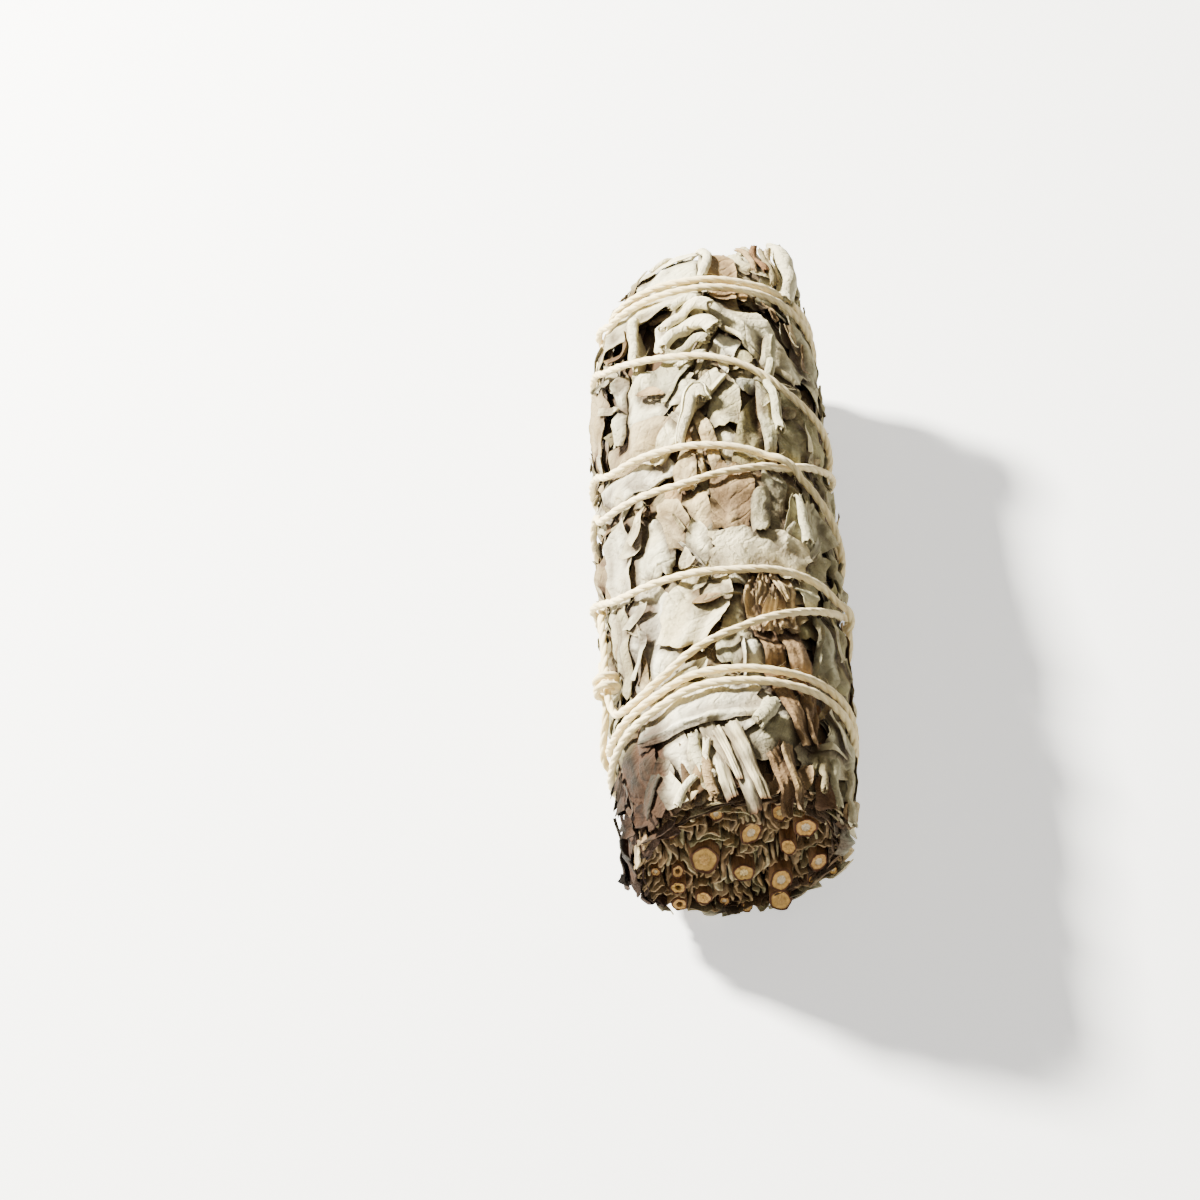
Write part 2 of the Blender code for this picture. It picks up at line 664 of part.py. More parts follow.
def main():
    rng = random.Random(SEED)
    bundle = core()
    blades = [blade("blade", leaf, rng) for leaf in fill_leaves(rng) + FRONT_LEAVES + UNDER_LEAVES]
    combine(bundle, "UNION", blades + ribbons(rng))
    route = thinned(twine_path(), TWINE_TOLERANCE, TWINE_LONGEST)

    beds = []
    loose = []
    for n, leaf in enumerate(BROWN_LEAVES):
        loose.append(blade(f"brown_leaf_{n + 1}", leaf, random.Random(n), True, finish=LEAF_BROWN))
        beds.append(blade("bed", leaf, random.Random(n), True, GAP))
    twig, twig_bed = cluster("flower_twig", TWIG_CALYX, TWIG_ARMS, TWIG_SINK, LEAF_BROWN, 5)
    fork, fork_bed = cluster("leaf_stalk_fork", FORK_BASE, FORK_ARMS, FORK_SINK, STALK_PALE, 6)
    loose += [twig, fork]
    beds += twig_bed + fork_bed

    for n, s in enumerate(STALKS):
        run = STALK_RUN[0] + (STALK_RUN[1] - STALK_RUN[0]) * (0.618 * n % 1)
        stalk(f"stalk_{n + 1:02d}", (s.x, s.z, s.reach), run, s.diameter)
        beds.append(stalk("hole", (s.x, s.z, s.reach), run, s.diameter, GAP))
    for n, (around, out, diameter, end) in enumerate(TIP_STUBS):
        a = math.radians(around)
        place = (out * math.sin(a), out * math.cos(a), end - TIP_STUB_RUN)
        stalk(f"tip_stalk_{n + 1}", place, TIP_STUB_RUN, diameter)
        beds.append(stalk("hole", place, TIP_STUB_RUN, diameter, GAP, (0, 6)))

    combine(bundle, "DIFFERENCE", beds + [floor_block()])
    combine(bundle, "DIFFERENCE", channels(route))
    keep_main_body(bundle)
    for piece in loose:
        combine(piece, "DIFFERENCE", channels(route))
        keep_main_body(piece)
    tube("twine", route, [TWINE_RADIUS], TWINE_SIDES, TWINE_CREAM)


for old in list(bpy.data.objects):
    remove(old)
LEAF_GREEN = material("dried_leaf", (0.47, 0.45, 0.34), 0.9)
LEAF_BROWN = material("brown_leaf", (0.36, 0.24, 0.15), 0.85)
STALK_BROWN = material("woody_stalk", (0.42, 0.27, 0.12), 0.8)
STALK_PALE = material("leaf_stalk", (0.6, 0.52, 0.38), 0.85)
TWINE_CREAM = material("cotton_twine", (0.78, 0.7, 0.53), 0.95)
main()
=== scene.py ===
import math
from collections import namedtuple

import bpy
import numpy as np
from mathutils import Matrix


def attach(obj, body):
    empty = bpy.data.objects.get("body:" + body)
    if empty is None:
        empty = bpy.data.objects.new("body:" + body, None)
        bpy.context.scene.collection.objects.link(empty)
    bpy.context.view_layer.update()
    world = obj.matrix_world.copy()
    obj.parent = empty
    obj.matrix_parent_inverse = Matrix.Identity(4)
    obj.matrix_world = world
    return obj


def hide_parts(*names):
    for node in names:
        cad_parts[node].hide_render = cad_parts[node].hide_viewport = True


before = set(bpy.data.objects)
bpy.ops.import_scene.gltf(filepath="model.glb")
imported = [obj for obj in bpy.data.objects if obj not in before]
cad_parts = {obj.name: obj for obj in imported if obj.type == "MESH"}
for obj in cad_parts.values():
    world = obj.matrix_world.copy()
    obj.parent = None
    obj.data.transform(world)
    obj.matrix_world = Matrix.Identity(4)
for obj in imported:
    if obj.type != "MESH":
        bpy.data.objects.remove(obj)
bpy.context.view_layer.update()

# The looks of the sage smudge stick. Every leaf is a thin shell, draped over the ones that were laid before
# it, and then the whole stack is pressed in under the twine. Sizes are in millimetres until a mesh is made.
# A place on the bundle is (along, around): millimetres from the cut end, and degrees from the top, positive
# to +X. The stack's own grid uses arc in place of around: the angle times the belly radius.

MM = 0.001

# The bundle's form, as in the CAD model
LENGTH = 105.0
BELLY_RADIUS = 18.8
BELLY_ALONG = 60.0
BUTT_PINCH = 3.0
DOME_END = 110.0
LEFT_SLOPE = 0.1
AXIS_HEIGHT = 17.2
TURN = math.tau * BELLY_RADIUS

# The leaves end on two slanted planes: (middle, how far it leans, the direction that stands out most)
CUT_END = (-0.9, -1.9, -140.0)
TIP_END = (106.6, 1.9, -45.0)

# On its right the tip is fuller than the dome: the radius there, how much of it counts, and its middle and
# half width
FULL_RADIUS = 18.3
FULL_SHARE = 0.65
FULL_PLACE = (57.0, 38.0)

# The lower left of the cut end bulges: how far, its middle and half width, and how far along it fades out
CORNER = (2.0, -126.0, 42.0, 26.0)

# The stack of leaves: it starts this far below the nominal surface, and its mean top stands at TOP_RISE
STACK_DEPTH = 3.6
TOP_RISE = -0.1
MOST_RISE = 0.7
CELL = 0.3
LEAF_THICK = 0.34
LEAF_GAP = 0.1
FINE_QUAD = 0.75
COARSE_QUAD = 1.15
SHARP_ANGLE = 50.0
FLOOR_CLEAR = 0.02

# How a leaf is shaped. Its waves and its rib: (how high, how long or wide); its lengthwise pleats, least and
# most; how far its edges curl and its ends lift; how often a broad torn leaf is folded over, and from where
WAVES = (0.26, 10.0)
PLEATS = (0.1, 0.42)
RIB = (0.2, 0.5)
CURL = (-0.2, 0.9)
MOST_LIFT = 1.1
FOLDED_SHARE = 0.4
FOLD_FROM = (0.45, 0.8)

# Leaves that pass an end's plane are squeezed back by this share, to at most this far inside it
END_SQUEEZE = 0.85
SHORTEST_END = 1.7

# Steps that spread leaves evenly: along the bundle and around it, and around its ends
ALONG_STEP = 0.618034
AROUND_STEP = 0.754878
END_STEP = 0.381966

# Twine, as in the CAD model
TWINE_RADIUS = 0.65
TWINE_RISE = 0.55
STRAND_STEP = 2 * TWINE_RADIUS + 0.15
PARALLEL_REACH = 1.9
CROSSING_REACH = 1.5
FULL_LIFT = 0.6
SAME_STRETCH = 8.0
OUTER_SHARE = 0.6
FLOOR_GAP = 0.1
ROUTE = [
    (-85, 42), (-79, 37), (-77, 30), (-76, 24), (-72, 20), (-64, 18.6), (-50, 18.5), (-35, 19.9),
    (-20, 22.3), (0, 25.2), (20, 28.1), (40, 30.7), (60, 33.4), (90, 38), (180, 46.5), (270, 56.6),
    (290, 53.9), (305, 52.5), (338, 51.4), (360, 52.7), (380, 54.6), (400, 57), (420, 60),
    (450, 65), (540, 79), (630, 94), (660, 95.4), (690, 94.4), (720, 93.6), (760, 93.7),
    (780, 94.2), (810, 95), (900, 96.4), (990, 96.2), (1020, 93.4), (1045, 92), (1080, 91.5),
    (1120, 91.8), (1140, 91.6), (1170, 91), (1260, 89.5), (1350, 87), (1380, 81.9), (1400, 79),
    (1420, 77), (1440, 75.8), (1460, 73.8), (1480, 71), (1500, 69.9), (1530, 69), (1620, 68.4),
    (1710, 65.4), (1740, 60.4), (1760, 59.2), (1800, 57.9), (1820, 56.8), (1840, 54.5),
    (1860, 51.4), (1890, 48), (1980, 44.2), (2070, 40.8), (2100, 36.9), (2120, 35.6), (2160, 35.2),
    (2180, 35.8), (2200, 36), (2220, 35.4), (2250, 33.4), (2340, 26), (2430, 17.2), (2460, 16.6),
    (2480, 17.4), (2500, 18.8), (2520, 19), (2560, 18.9), (2580, 18.4), (2610, 17), (2700, 14.9),
    (2790, 13.6), (2820, 14.5), (2840, 15.4), (2860, 16.8), (2880, 17.1), (2920, 17), (2940, 16.3),
    (2970, 14.8), (3060, 13.1), (3090, 13.6), (3118, 15.3), (3140, 18.2),
]
ROUTE_TURNS = 9
KNOT_AROUND = -76.5
KNOT_FROM = 24.0
KNOT_TURNS = 2
KNOT_POINTS = 10
KNOT_PITCH = 1.6
KNOT_COIL = 1.55
KNOT_RISE = 0.75
KNOT_LIFTS = 5.5
KNOT_EASE = 2.5
KNOT_APPROACH = [(-9.5, 21.5, 0.8)]
KNOT_TAIL = [(-12, 29.5, 0.5), (-18, 33.0, 0.4)]

# The strand's three plies, and its loose fibres
TWINE_SINK = 0.35
PLY_RADIUS = 0.37
PLY_OFFSET = 0.215
PLY_TWIST = 6.3
PLY_STEP = 0.36
PLY_SIDES = 8
FUZZ = 900
FUZZ_LENGTH = (0.7, 2.6)
FUZZ_RADIUS = 0.018

Leaf = namedtuple("Leaf", "along around length width heading shape tone")

# A laid leaf's grids: where it lies, how high it stands in the stack, and its own coordinates for its veins
Sheet = namedtuple("Sheet", "along arc bottom top local tone")

# Leaf colours: sRGB, where the leaf lies in full light
TONES = {
    "pale": (214, 206, 170),
    "white": (234, 227, 197),
    "cream": (228, 218, 180),
    "grey": (184, 178, 144),
    "blue": (178, 177, 154),
    "olive": (158, 150, 110),
    "tan": (186, 168, 128),
    "dim": (140, 129, 95),
    "brown": (158, 133, 94),
    "twig": (210, 184, 140),
    "stem": (146, 119, 84),
    "stalk": (228, 217, 178),
    "dark": (92, 70, 48),
    # The gap tone is painted shade, for crevices and deep in the stack
    "gap": (62, 42, 27),
    "bark": (112, 82, 52),
    "wood": (172, 137, 82),
    "pith": (206, 180, 128),
    "cut": (150, 126, 92),
    # The shade tone is painted shadow, near the cut end on the left flank
    "shade": (19, 15, 11),
}

# How a leaf's tone varies: from leaf to leaf, in its stains and at its rim; then painted shade in a crevice,
# deep in the stack, and on its underside
TONE_SPREAD = (0.88, 1.08)
STAINED = 0.14
RIM_BROWNED = 0.22
CREVICE_PAINTED_SHADE = 0.66
DEEP_PAINTED_SHADE = 0.75
UNDERSIDE_PAINTED_SHADE = 0.72

# Painted shadow: the leaves of the left flank are darkened by this share, as if a shadow lay across that flank
FLANK_PAINTED_SHADE = 0.45

# Cut stalks, as in the CAD model: x, z from the axis, diameter, how far back the face is
STALKS = [
    (-5, -0.4, 4.1, 0.3), (0.7, -4.8, 3.0, 0.4), (6.1, -7.2, 3.3, 0.2), (-8.6, -3.8, 1.9, 0.9),
    (-11.7, -3.6, 1.4, 1.0), (-8.5, -7.6, 2.2, 0.6), (-4.8, -10.6, 2.4, 0.4), (-1.7, -12.6, 1.7, 0.8),
    (-8.2, -11.6, 2.2, 0.3), (1.6, -14.2, 1.8, 0.5), (6.3, -12.3, 3.6, 0.0), (8.8, 4.4, 3.2, 1.0),
    (6.6, 0.6, 2.4, 0.6), (5, 7.6, 2.2, 1.6), (11.2, -3.9, 2.8, 0.6), (10.8, -8.4, 1.6, 0.7),
    (13.4, -6.4, 1.5, 0.6), (10.6, 9.4, 2.4, 2.6), (5.8, 11.7, 2.6, 1.6), (1.4, 2.9, 3.2, 1.8),
    (-9.8, 4.8, 2.2, 1.8), (-3.6, 7.6, 2.0, 2.2),
]

# Stubs of stalks in the tip: degrees from the top, distance from the axis, diameter, where they end
TIP_STUBS = [(48, 12.2, 3.0, 105.0), (36, 13.6, 2.2, 103.6), (-150, 8.0, 2.4, 104.4)]
STALK_RUN = 14.0

# The cut faces lean by CUT_SLANT and stand FACE_SHIFT behind the leaf edges. Their middles, in turn:
CUT_SLANT = 0.42
FACE_SHIFT = 0.3
PITHS = ("solid", "star", "pale", "hollow", "pale", "hollow", "solid", "pale", "hollow", "pale", "solid",
         "pale")

# The leaves in each end, seen edge on: how far apart, their shortest and longest run, how ragged, their tones
CUT_EDGES = (0.7, (2.4, 12.0), 0.9, ("cut", "cut", "dim", "brown", "stem", "tan", "cut"))
TIP_EDGES = (0.8, (3.0, 12.0), 2.2, ("pale", "grey", "tan", "dim", "pale", "olive"))

# Each of those leaves: how thick, the step along it, the grid that keeps them apart, how many are tried, and how
# far inside the rim they stay. Then its rings from the edge inwards: how deep, and how dark their painted shade
# is.
EDGE_THICK = 0.4
EDGE_STEP = 0.3
EDGE_CELL = 0.12
EDGE_TRIES = 5200
CUT_INSET = 1.0
TIP_INSET = STACK_DEPTH - 1.5
EDGE_DEPTHS = (0.0, 0.22, 0.7, 1.5, 3.0, 6.0, 9.0)
EDGE_SHADE = (0.0, 0.05, 0.24, 0.48, 0.75, 0.95, 1.0)

# Rolled leaves: how thick half their shell is, how round they are, by what share of their radius they stand
# out, and how many columns a turn has
SCROLL_THICK = 0.14
SCROLL_ROUND = 0.8
SCROLL_SEAT = 0.62
SCROLL_COLUMNS = 15

# Rolled leaves: (route of (along, around, rise), radius at each end, turns, tone)
SCROLLS = [
    ([(66.8, -6.5, 0.1), (68.6, -7.5, 0.1), (67.5, -11, 0.1), (63.5, -14), (59.5, -19)],
     (1.3, 0.7), 2.2, "pale"),
    ([(81.2, 1.5, 0.1), (82.9, -2.5, 0.1), (83.8, -9), (83.0, -17), (80.5, -24)],
     (1.4, 0.9), 2.4, "pale"),
    ([(85.6, 0, 0.5), (86.6, -7, 0.4), (86.0, -15), (83.5, -22)], (1.1, 0.8), 1.9, "cream"),
    ([(88.2, -5, 0.3), (88.8, -11), (87.6, -18)], (0.8, 0.7), 1.6, "pale"),
    ([(79.4, -2, 0.2), (80.2, -8), (78.6, -16)], (0.9, 0.7), 1.7, "grey"),
    ([(77.5, -4), (76.8, -10), (75.2, -17)], (0.7, 0.5), 1.5, "pale"),
    ([(94.6, -1.5), (98, 1.5), (102, 2.5), (105.5, -2), (107, -9)], (0.8, 0.7), 1.5, "pale"),
    ([(107.8, -9), (107.4, -17), (105.4, -26), (102.8, -36)], (0.6, 0.4), 1.5, "cream"),
    ([(10.2, 6.5), (11.6, 10.5), (13.0, 13.5)], (1.0, 1.3), 1.6, "grey"),
    ([(105.8, 44, 1.9), (102.5, 44, 1.0), (98.0, 45, 0.4), (93, 45.5)], (1.75, 1.45), 2.3, "pale"),
    ([(104.8, 54, 0.8), (101, 54.5, 0.4), (96.5, 55)], (0.8, 0.9), 1.6, "grey"),
    ([(4.4, -18.5), (6.8, -21.5), (9.6, -22)], (0.6, 0.8), 1.6, "grey"),
    ([(3.2, -14.5), (5.6, -17.5), (8.6, -16.5)], (0.4, 0.5), 1.5, "cream"),
    ([(80, -43), (84, -41), (88.5, -40)], (0.9, 1.1), 1.5, "pale"),
    ([(42, 38), (46, 36.5), (50.5, 36)], (0.9, 0.5), 1.5, "grey"),
    ([(76, 28), (70, 27), (62, 29)], (0.8, 0.9), 1.5, "grey"),
    ([(0.2, -33), (2.0, -29), (3.4, -24)], (0.55, 0.45), 1.4, "pale"),
    ([(0.6, -15), (2.6, -16.5), (5.2, -17)], (0.6, 0.75), 1.5, "brown"),
    ([(1.2, 51), (4.5, 49), (8, 50)], (0.6, 0.8), 1.4, "grey"),
    ([(0.4, 66), (3.5, 64), (8.5, 65)], (0.7, 0.5), 1.4, "pale"),
    ([(2.4, 40), (5, 41), (8, 44)], (0.5, 0.7), 1.4, "dim"),
    ([(104.4, 23, 0.3), (101.5, 26, 0.2), (97.5, 27)], (0.6, 0.4), 1.5, "brown"),
    ([(104.0, 30, 0.4), (101.8, 29, 0.4), (98.0, 33)], (0.5, 0.6), 1.6, "bark"),
    ([(103.6, 37, 0.3), (101, 36, 0.2), (96.5, 39)], (0.6, 0.5), 1.6, "tan"),
    ([(103.4, 33, 0.6), (100, 34, 0.3), (95.5, 37)], (0.4, 0.5), 1.5, "dim"),
    ([(60, 150), (66, 153), (74, 151)], (1.0, 0.8), 1.5, "tan"),
    ([(30, -118), (38, -121), (47, -119)], (0.9, 1.1), 1.6, "pale"),
    ([(84, 112), (90, 108), (97, 109)], (1.2, 0.9), 1.6, "grey"),
    ([(14, 98), (22, 101), (29, 100)], (1.1, 0.8), 1.6, "cream"),
]

# The dried flower twig: flat stems under the twine, and a calyx that is a fan of narrow strips above them.
# Each strip is (along, around, length, width, heading).
TWIG_STEMS = [(22.2, 18.8, 12, 4.0, -9), (14.0, 26, 12, 3.2, -22), (22.0, 31.5, 12, 3.9, -21),
              (13.8, 37.0, 10, 3.2, -2)]
CALYX = [(31.0, 12.5, 9.6, 4.4, 6), (31.0, 26.0, 9.8, 4.4, -7), (31.4, 19.0, 10.4, 5.0, 0),
         (32.6, 15.0, 6.4, 2.6, 13), (30.0, 22.5, 7.0, 2.6, -12), (33.4, 23.5, 5.0, 2.2, -20),
         (28.6, 17.0, 5.5, 2.4, 8)]

# The forked pale leaf stalk over the cut end: its broad top, and its arms
FORK = [(5.8, -12.0, 12.6, 2.3, -14), (4.7, -2.8, 12.8, 2.8, -25), (5.3, 2.0, 12.2, 2.2, -21),
        (6.4, -6.8, 9, 1.2, -19)]

# Places where the outer leaves leave a dark gap: (along, around, half length, half angle)
PITS = [(82, -37, 5, 9), (47, -6, 3, 4), (2, 34, 6, 24), (37, 12, 2, 4)]

# The leaves that show from the front, in the order that they were laid. heading turns from the tip's
# direction towards +around.
FRONT_LEAVES = [
    Leaf(98, 24, 16, 8, 6, "torn", "grey"),
    Leaf(67, 56, 18, 8, 2, "lance", "olive"),
    Leaf(48, 16, 12, 5, 0, "torn", "brown"),
    Leaf(49, 27, 13, 7, 0, "torn", "grey"),
    Leaf(26, 5, 12, 8, 10, "torn", "grey"),
    Leaf(12, 72, 14, 8, 0, "torn", "dim"),
    Leaf(2, -54, 10, 7, 0, "torn", "tan"),
    Leaf(9, 60, 15, 8, 10, "torn", "grey"),
    Leaf(30, 66, 20, 8, 4, "torn", "olive"),
    Leaf(48, 66, 20, 8, -6, "torn", "grey"),
    Leaf(86, 78, 22, 8, 4, "torn", "olive"),
    Leaf(98, -22, 18, 11, 5, "torn", "pale"),
    Leaf(97, 40, 16, 6, 12, "torn", "grey"),
    Leaf(82, -44, 10, 3, 5, "strip", "pale"),
    Leaf(86, 60, 24, 10, 170, "torn", "grey"),
    Leaf(72, -34, 15, 12, 72, "torn", "pale"),
    Leaf(62.5, -44, 14, 8.5, 85, "torn", "tan"),
    Leaf(60, -13, 13, 2.6, -8, "strip", "tan"),
    Leaf(68, 4, 12, 5.5, 5, "tip", "grey"),
    Leaf(63, 20, 15, 8, 6, "tip", "olive"),
    Leaf(66, 38, 21, 6.5, 0, "torn", "olive"),
    Leaf(71, -76, 19, 7, 10, "torn", "tan"),
    Leaf(42, -36, 10, 9, 15, "torn", "pale"),
    Leaf(46.5, -14, 10, 5, 0, "torn", "tan"),
    Leaf(103.2, -24, 11, 5.5, 78, "tip", "pale"),
    Leaf(97.5, 18, 14, 4.2, 3, "strip", "grey"),
    Leaf(46.5, 46, 10, 8, 60, "torn", "grey"),
    Leaf(39, -6, 9, 5, -5, "tip", "pale"),
    Leaf(26.5, -40, 23, 11, -6, "lance", "white"),
    Leaf(25, 50, 14, 5.5, 4, "torn", "grey"),
    Leaf(21, 10, 7, 6, 0, "torn", "white"),
    Leaf(12, 24, 12, 6, 8, "torn", "brown"),
    Leaf(13.5, 22, 8, 6, 20, "tip", "white"),
    Leaf(6, -33.5, 12.5, 7.4, 155, "tip", "white"),
    Leaf(9, -60, 15, 6, -8, "torn", "dim"),
    Leaf(8, -50, 14, 3.4, -10, "strip", "stem"),
    Leaf(99, 1, 15, 2.6, 2, "strip", "pale"),
    Leaf(90, -50, 21, 7, 96, "tip", "pale"),
    Leaf(82, 24, 20, 9, 130, "torn", "pale"),
    Leaf(72, -53, 15, 3, 0, "strip", "pale"),
    Leaf(74, -21, 10, 7, 30, "torn", "grey"),
    Leaf(60, -5, 15, 2.2, -14, "strip", "tan"),
    Leaf(70, 25, 25, 3, 4, "strip", "grey"),
    Leaf(55.5, -48, 17, 7, 85, "torn", "white"),
    Leaf(55, -17, 9, 4, 0, "strip", "tan"),
    Leaf(43, -58, 13, 6, 0, "torn", "white"),
    Leaf(45, -23, 10, 4.5, -10, "torn", "tan"),
    Leaf(38, 40, 12, 7, 20, "torn", "grey"),
    Leaf(39.5, -13, 10, 5, 0, "tip", "pale"),
    Leaf(37.5, 4, 8, 5, 8, "tip", "pale"),
    Leaf(30, -17, 13, 9, 20, "torn", "pale"),
    Leaf(28, -58, 16, 3.4, 0, "strip", "grey"),
    Leaf(9, 17, 10, 7, 85, "torn", "grey"),
    Leaf(9, 46, 11, 7, 80, "torn", "pale"),
    Leaf(97, 48, 13, 4, 5, "strip", "pale"),
    Leaf(65, -14, 19, 4, 37, "rolled", "pale"),
    Leaf(46, -46, 6, 3.4, 20, "tip", "pale"),
    Leaf(46, 33, 9, 3.6, 5, "tip", "grey"),
    Leaf(13.5, -50, 7, 3.2, 5, "strip", "white"),
    Leaf(6.5, -22, 8, 3.2, 0, "strip", "pale"),
    Leaf(12.5, 7, 8, 4, 50, "rolled", "white"),
    Leaf(3, 35, 8, 2, 10, "strip", "grey"),
]

# Leaves laid last, over the brown ones and the stalks
LAST_LEAVES = [
    Leaf(39.6, 15, 15, 7.4, 92, "torn", "cream"),
    Leaf(46.5, 17, 8, 3.4, 8, "strip", "grey"),
    Leaf(14.0, -19, 17.5, 8.6, 87, "rolled", "white"),
    Leaf(4.0, -43, 8.5, 4.2, 14, "lance", "cream"),
    Leaf(2.8, -37, 6.0, 3.6, -20, "torn", "cream"),
    Leaf(3.4, -48, 6.0, 2.4, 30, "rolled", "cream"),
    Leaf(2.6, 20.0, 9.5, 2.8, -20, "rod", "stem"),
    Leaf(3.2, 25.5, 9.0, 2.0, -17, "rod", "brown"),
]

# The brown veined leaves, which have a node each in the CAD model
BROWN_LEAVES = {
    "brown_leaf_1": Leaf(96.8, 8.5, 14, 4.8, 0, "torn", "brown"),
    "brown_leaf_2": Leaf(48.5, 3, 13, 6.6, 4, "torn", "brown"),
    "brown_leaf_3": Leaf(29, 84, 15, 5.5, -12, "lance", "brown"),
    "brown_leaf_4": Leaf(67, 118, 16, 6, 14, "lance", "brown"),
}

# Random leaves: (how many, shortest and longest, narrowest and widest, sway of the heading)
DEEP_LEAVES = (110, (16, 25), (7, 11), 26)
MIDDLE_LEAVES = (110, (12, 23), (5, 10), 34)
OUTER_LEAVES = (210, (9, 21), (3, 9), 34)
FRONT_FILL = (240, (5, 13), (1.8, 5.0), 38)
FLAKES = (190, (2.4, 7.5), (0.9, 2.4), 50)
FLAKE_SHAPES = ("tip", "lance", "strip", "rolled", "tip", "torn")
FLAKE_TONES = ("pale", "white", "tan", "grey", "brown", "cream", "dim", "pale")
RIM_FLAKES = 34
FRONT_HALF = 62.0
OUTER_SHAPES = ("torn", "torn", "tip", "lance", "strip", "torn", "rolled", "tip")
DEEP_TONES = ("dim", "dim", "tan", "olive", "brown", "dark", "grey")
OUTER_TONES = ("pale", "grey", "olive", "pale", "tan", "grey", "blue", "cream", "dim", "white")

# Camera: millimetres and degrees
CAMERA_TARGET = (-18.3, -8.3, 16.8)
CAMERA_DISTANCE = 283.0
CAMERA_ELEVATION = 54.0
CAMERA_YAW = 0.8
CAMERA_ROLL = -0.8
CAMERA_LENS = 55.8

# Each light: place in metres, size, watts, colour
KEY_LIGHT = ((-0.54, 0.33, 0.45), 0.09, 61.0, (1.0, 0.975, 0.9))
FILL_LIGHT = ((-0.1, -0.1, 0.8), 0.7, 1.6, (1.0, 0.95, 0.84))
SKY_COLOUR = (1.0, 0.91, 0.74)
SKY_STRENGTH = 0.2

# The floor: sRGB, a glow that keeps its shadow light, and half its width in metres
FLOOR_COLOUR = (238, 238, 236)
FLOOR_GLOW = 0.9
FLOOR_HALF = 1.6

SEED = 7
RNG = np.random.default_rng(SEED)


def linear(rgb):
    """sRGB from 0 to 255 as linear light."""
    c = np.asarray(rgb, float) / 255
    return np.where(c < 0.04045, c / 12.92, ((c + 0.055) / 1.055) ** 2.4)


def eased(x):
    x = np.clip(x, 0, 1)
    return x * x * (3 - 2 * x)


def together(*parts):
    """Grids of single values as one grid of points."""
    return np.stack(np.broadcast_arrays(*parts), -1)


def radius_at(along):
    """The bundle's nominal radius."""
    along = np.asarray(along, float)
    pinched = BELLY_RADIUS - BUTT_PINCH * (1 - np.clip(along, 0, BELLY_ALONG) / BELLY_ALONG) ** 2.2
    t = np.clip((along - BELLY_ALONG) / (DOME_END - BELLY_ALONG), 0, 0.985)
    return np.where(along < BELLY_ALONG, pinched, BELLY_RADIUS * np.sqrt(1 - t**6))


def end_at(end, angle, share=1.0):
    """Where the leaves end, in this direction from the axis, and at this share of the radius."""
    middle, lean, towards = end
    return middle + lean * share * np.cos(angle - math.radians(towards))


def fullness(angle):
    """How far the tip reaches out from the dome to FULL_RADIUS, in this direction."""
    middle, half = np.radians(FULL_PLACE)
    return FULL_SHARE * eased((np.cos(angle - middle) - math.cos(half)) / (1 - math.cos(half)) * 1.6)


def on_bundle(arc, along, rise):
    """Points this far above the nominal surface, as rows of x, y, z."""
    angle = np.asarray(arc) / BELLY_RADIUS
    slope = LEFT_SLOPE * eased((np.asarray(along) - 78) / 30) * np.maximum(-np.sin(angle), 0)
    r = radius_at(along)
    r = r + (FULL_RADIUS - r) * fullness(angle) * (np.asarray(along) > 86) * (r < FULL_RADIUS)
    bulge, middle, half, reach = CORNER
    corner = eased((np.cos(angle - math.radians(middle)) - math.cos(math.radians(half))) * 3)
    r = r * (1 - slope) + bulge * corner * eased(1 - np.asarray(along) / reach) + rise
    return together(r * np.sin(angle), along - LENGTH / 2, AXIS_HEIGHT + r * np.cos(angle))


def unrolled(around, along, rise=0.0):
    """A place given in degrees, with its arc in millimetres instead."""
    return (math.radians(around) * BELLY_RADIUS, along, rise)


def ripples(u, v, rng, longest, count=4, crease=0.0):
    """Random waves from about -1 to 1. With crease, their crests are sharp."""
    total = 0
    for n in range(count):
        wavelength = longest / (1 + 0.7 * n)
        turn, phase = rng.uniform(0, math.tau, 2)
        wave = np.sin(math.tau * (u * math.cos(turn) + v * math.sin(turn)) / wavelength + phase)
        wave = (1 - crease) * wave + crease * (1 - 2 * np.abs(wave))
        total = total + wave / (1 + 0.5 * n)
    return total / 1.6


# Twine route, as in the CAD model


def smooth_route(points, step):
    """A Catmull-Rom curve through points, read about every step millimetres."""
    points = [np.array(p, float) for p in points]
    ends = [2 * points[0] - points[1]] + points + [2 * points[-1] - points[-2]]
    made = []
    for p0, p1, p2, p3 in zip(ends, ends[1:], ends[2:], ends[3:]):
        count = max(2, int(np.linalg.norm(p2 - p1) / step))
        for t in np.arange(count) / count:
            cubic = 2 * p1 + (p2 - p0) * t + (2 * p0 - 5 * p1 + 4 * p2 - p3) * t**2
            made.append(0.5 * (cubic + (3 * p1 - p0 - 3 * p2 + p3) * t**3))
    made.append(points[-1])
    return np.array(made)


def strand_rises(path):
    """How far each point of the strand stands from the surface: a later turn passes over an earlier one."""
    arc, along = path[:, 0], path[:, 1]
    run = np.concatenate([[0], np.cumsum(np.hypot(np.diff(arc), np.diff(along)))])
    apart = (arc[:, None] - arc[None, :] + TURN / 2) % TURN - TURN / 2
    distance = np.hypot(apart, along[:, None] - along[None, :])
    distance[np.abs(run[:, None] - run[None, :]) < SAME_STRETCH] = TURN
    heading = np.arctan2(np.gradient(along), np.gradient(arc))
    parallel = np.abs(np.cos(heading[:, None] - heading[None, :]))
    reach = PARALLEL_REACH + CROSSING_REACH * (1 - parallel)
    near = eased((reach - distance) / (reach - FULL_LIFT))
    over = np.tril(near).max(axis=1)
    under = np.triu(near).max(axis=1)
    share = OUTER_SHARE * eased((np.cos(arc / BELLY_RADIUS) + 0.9) / 0.4)
    return TWINE_RISE + STRAND_STEP * (over * share - under * (1 - share))


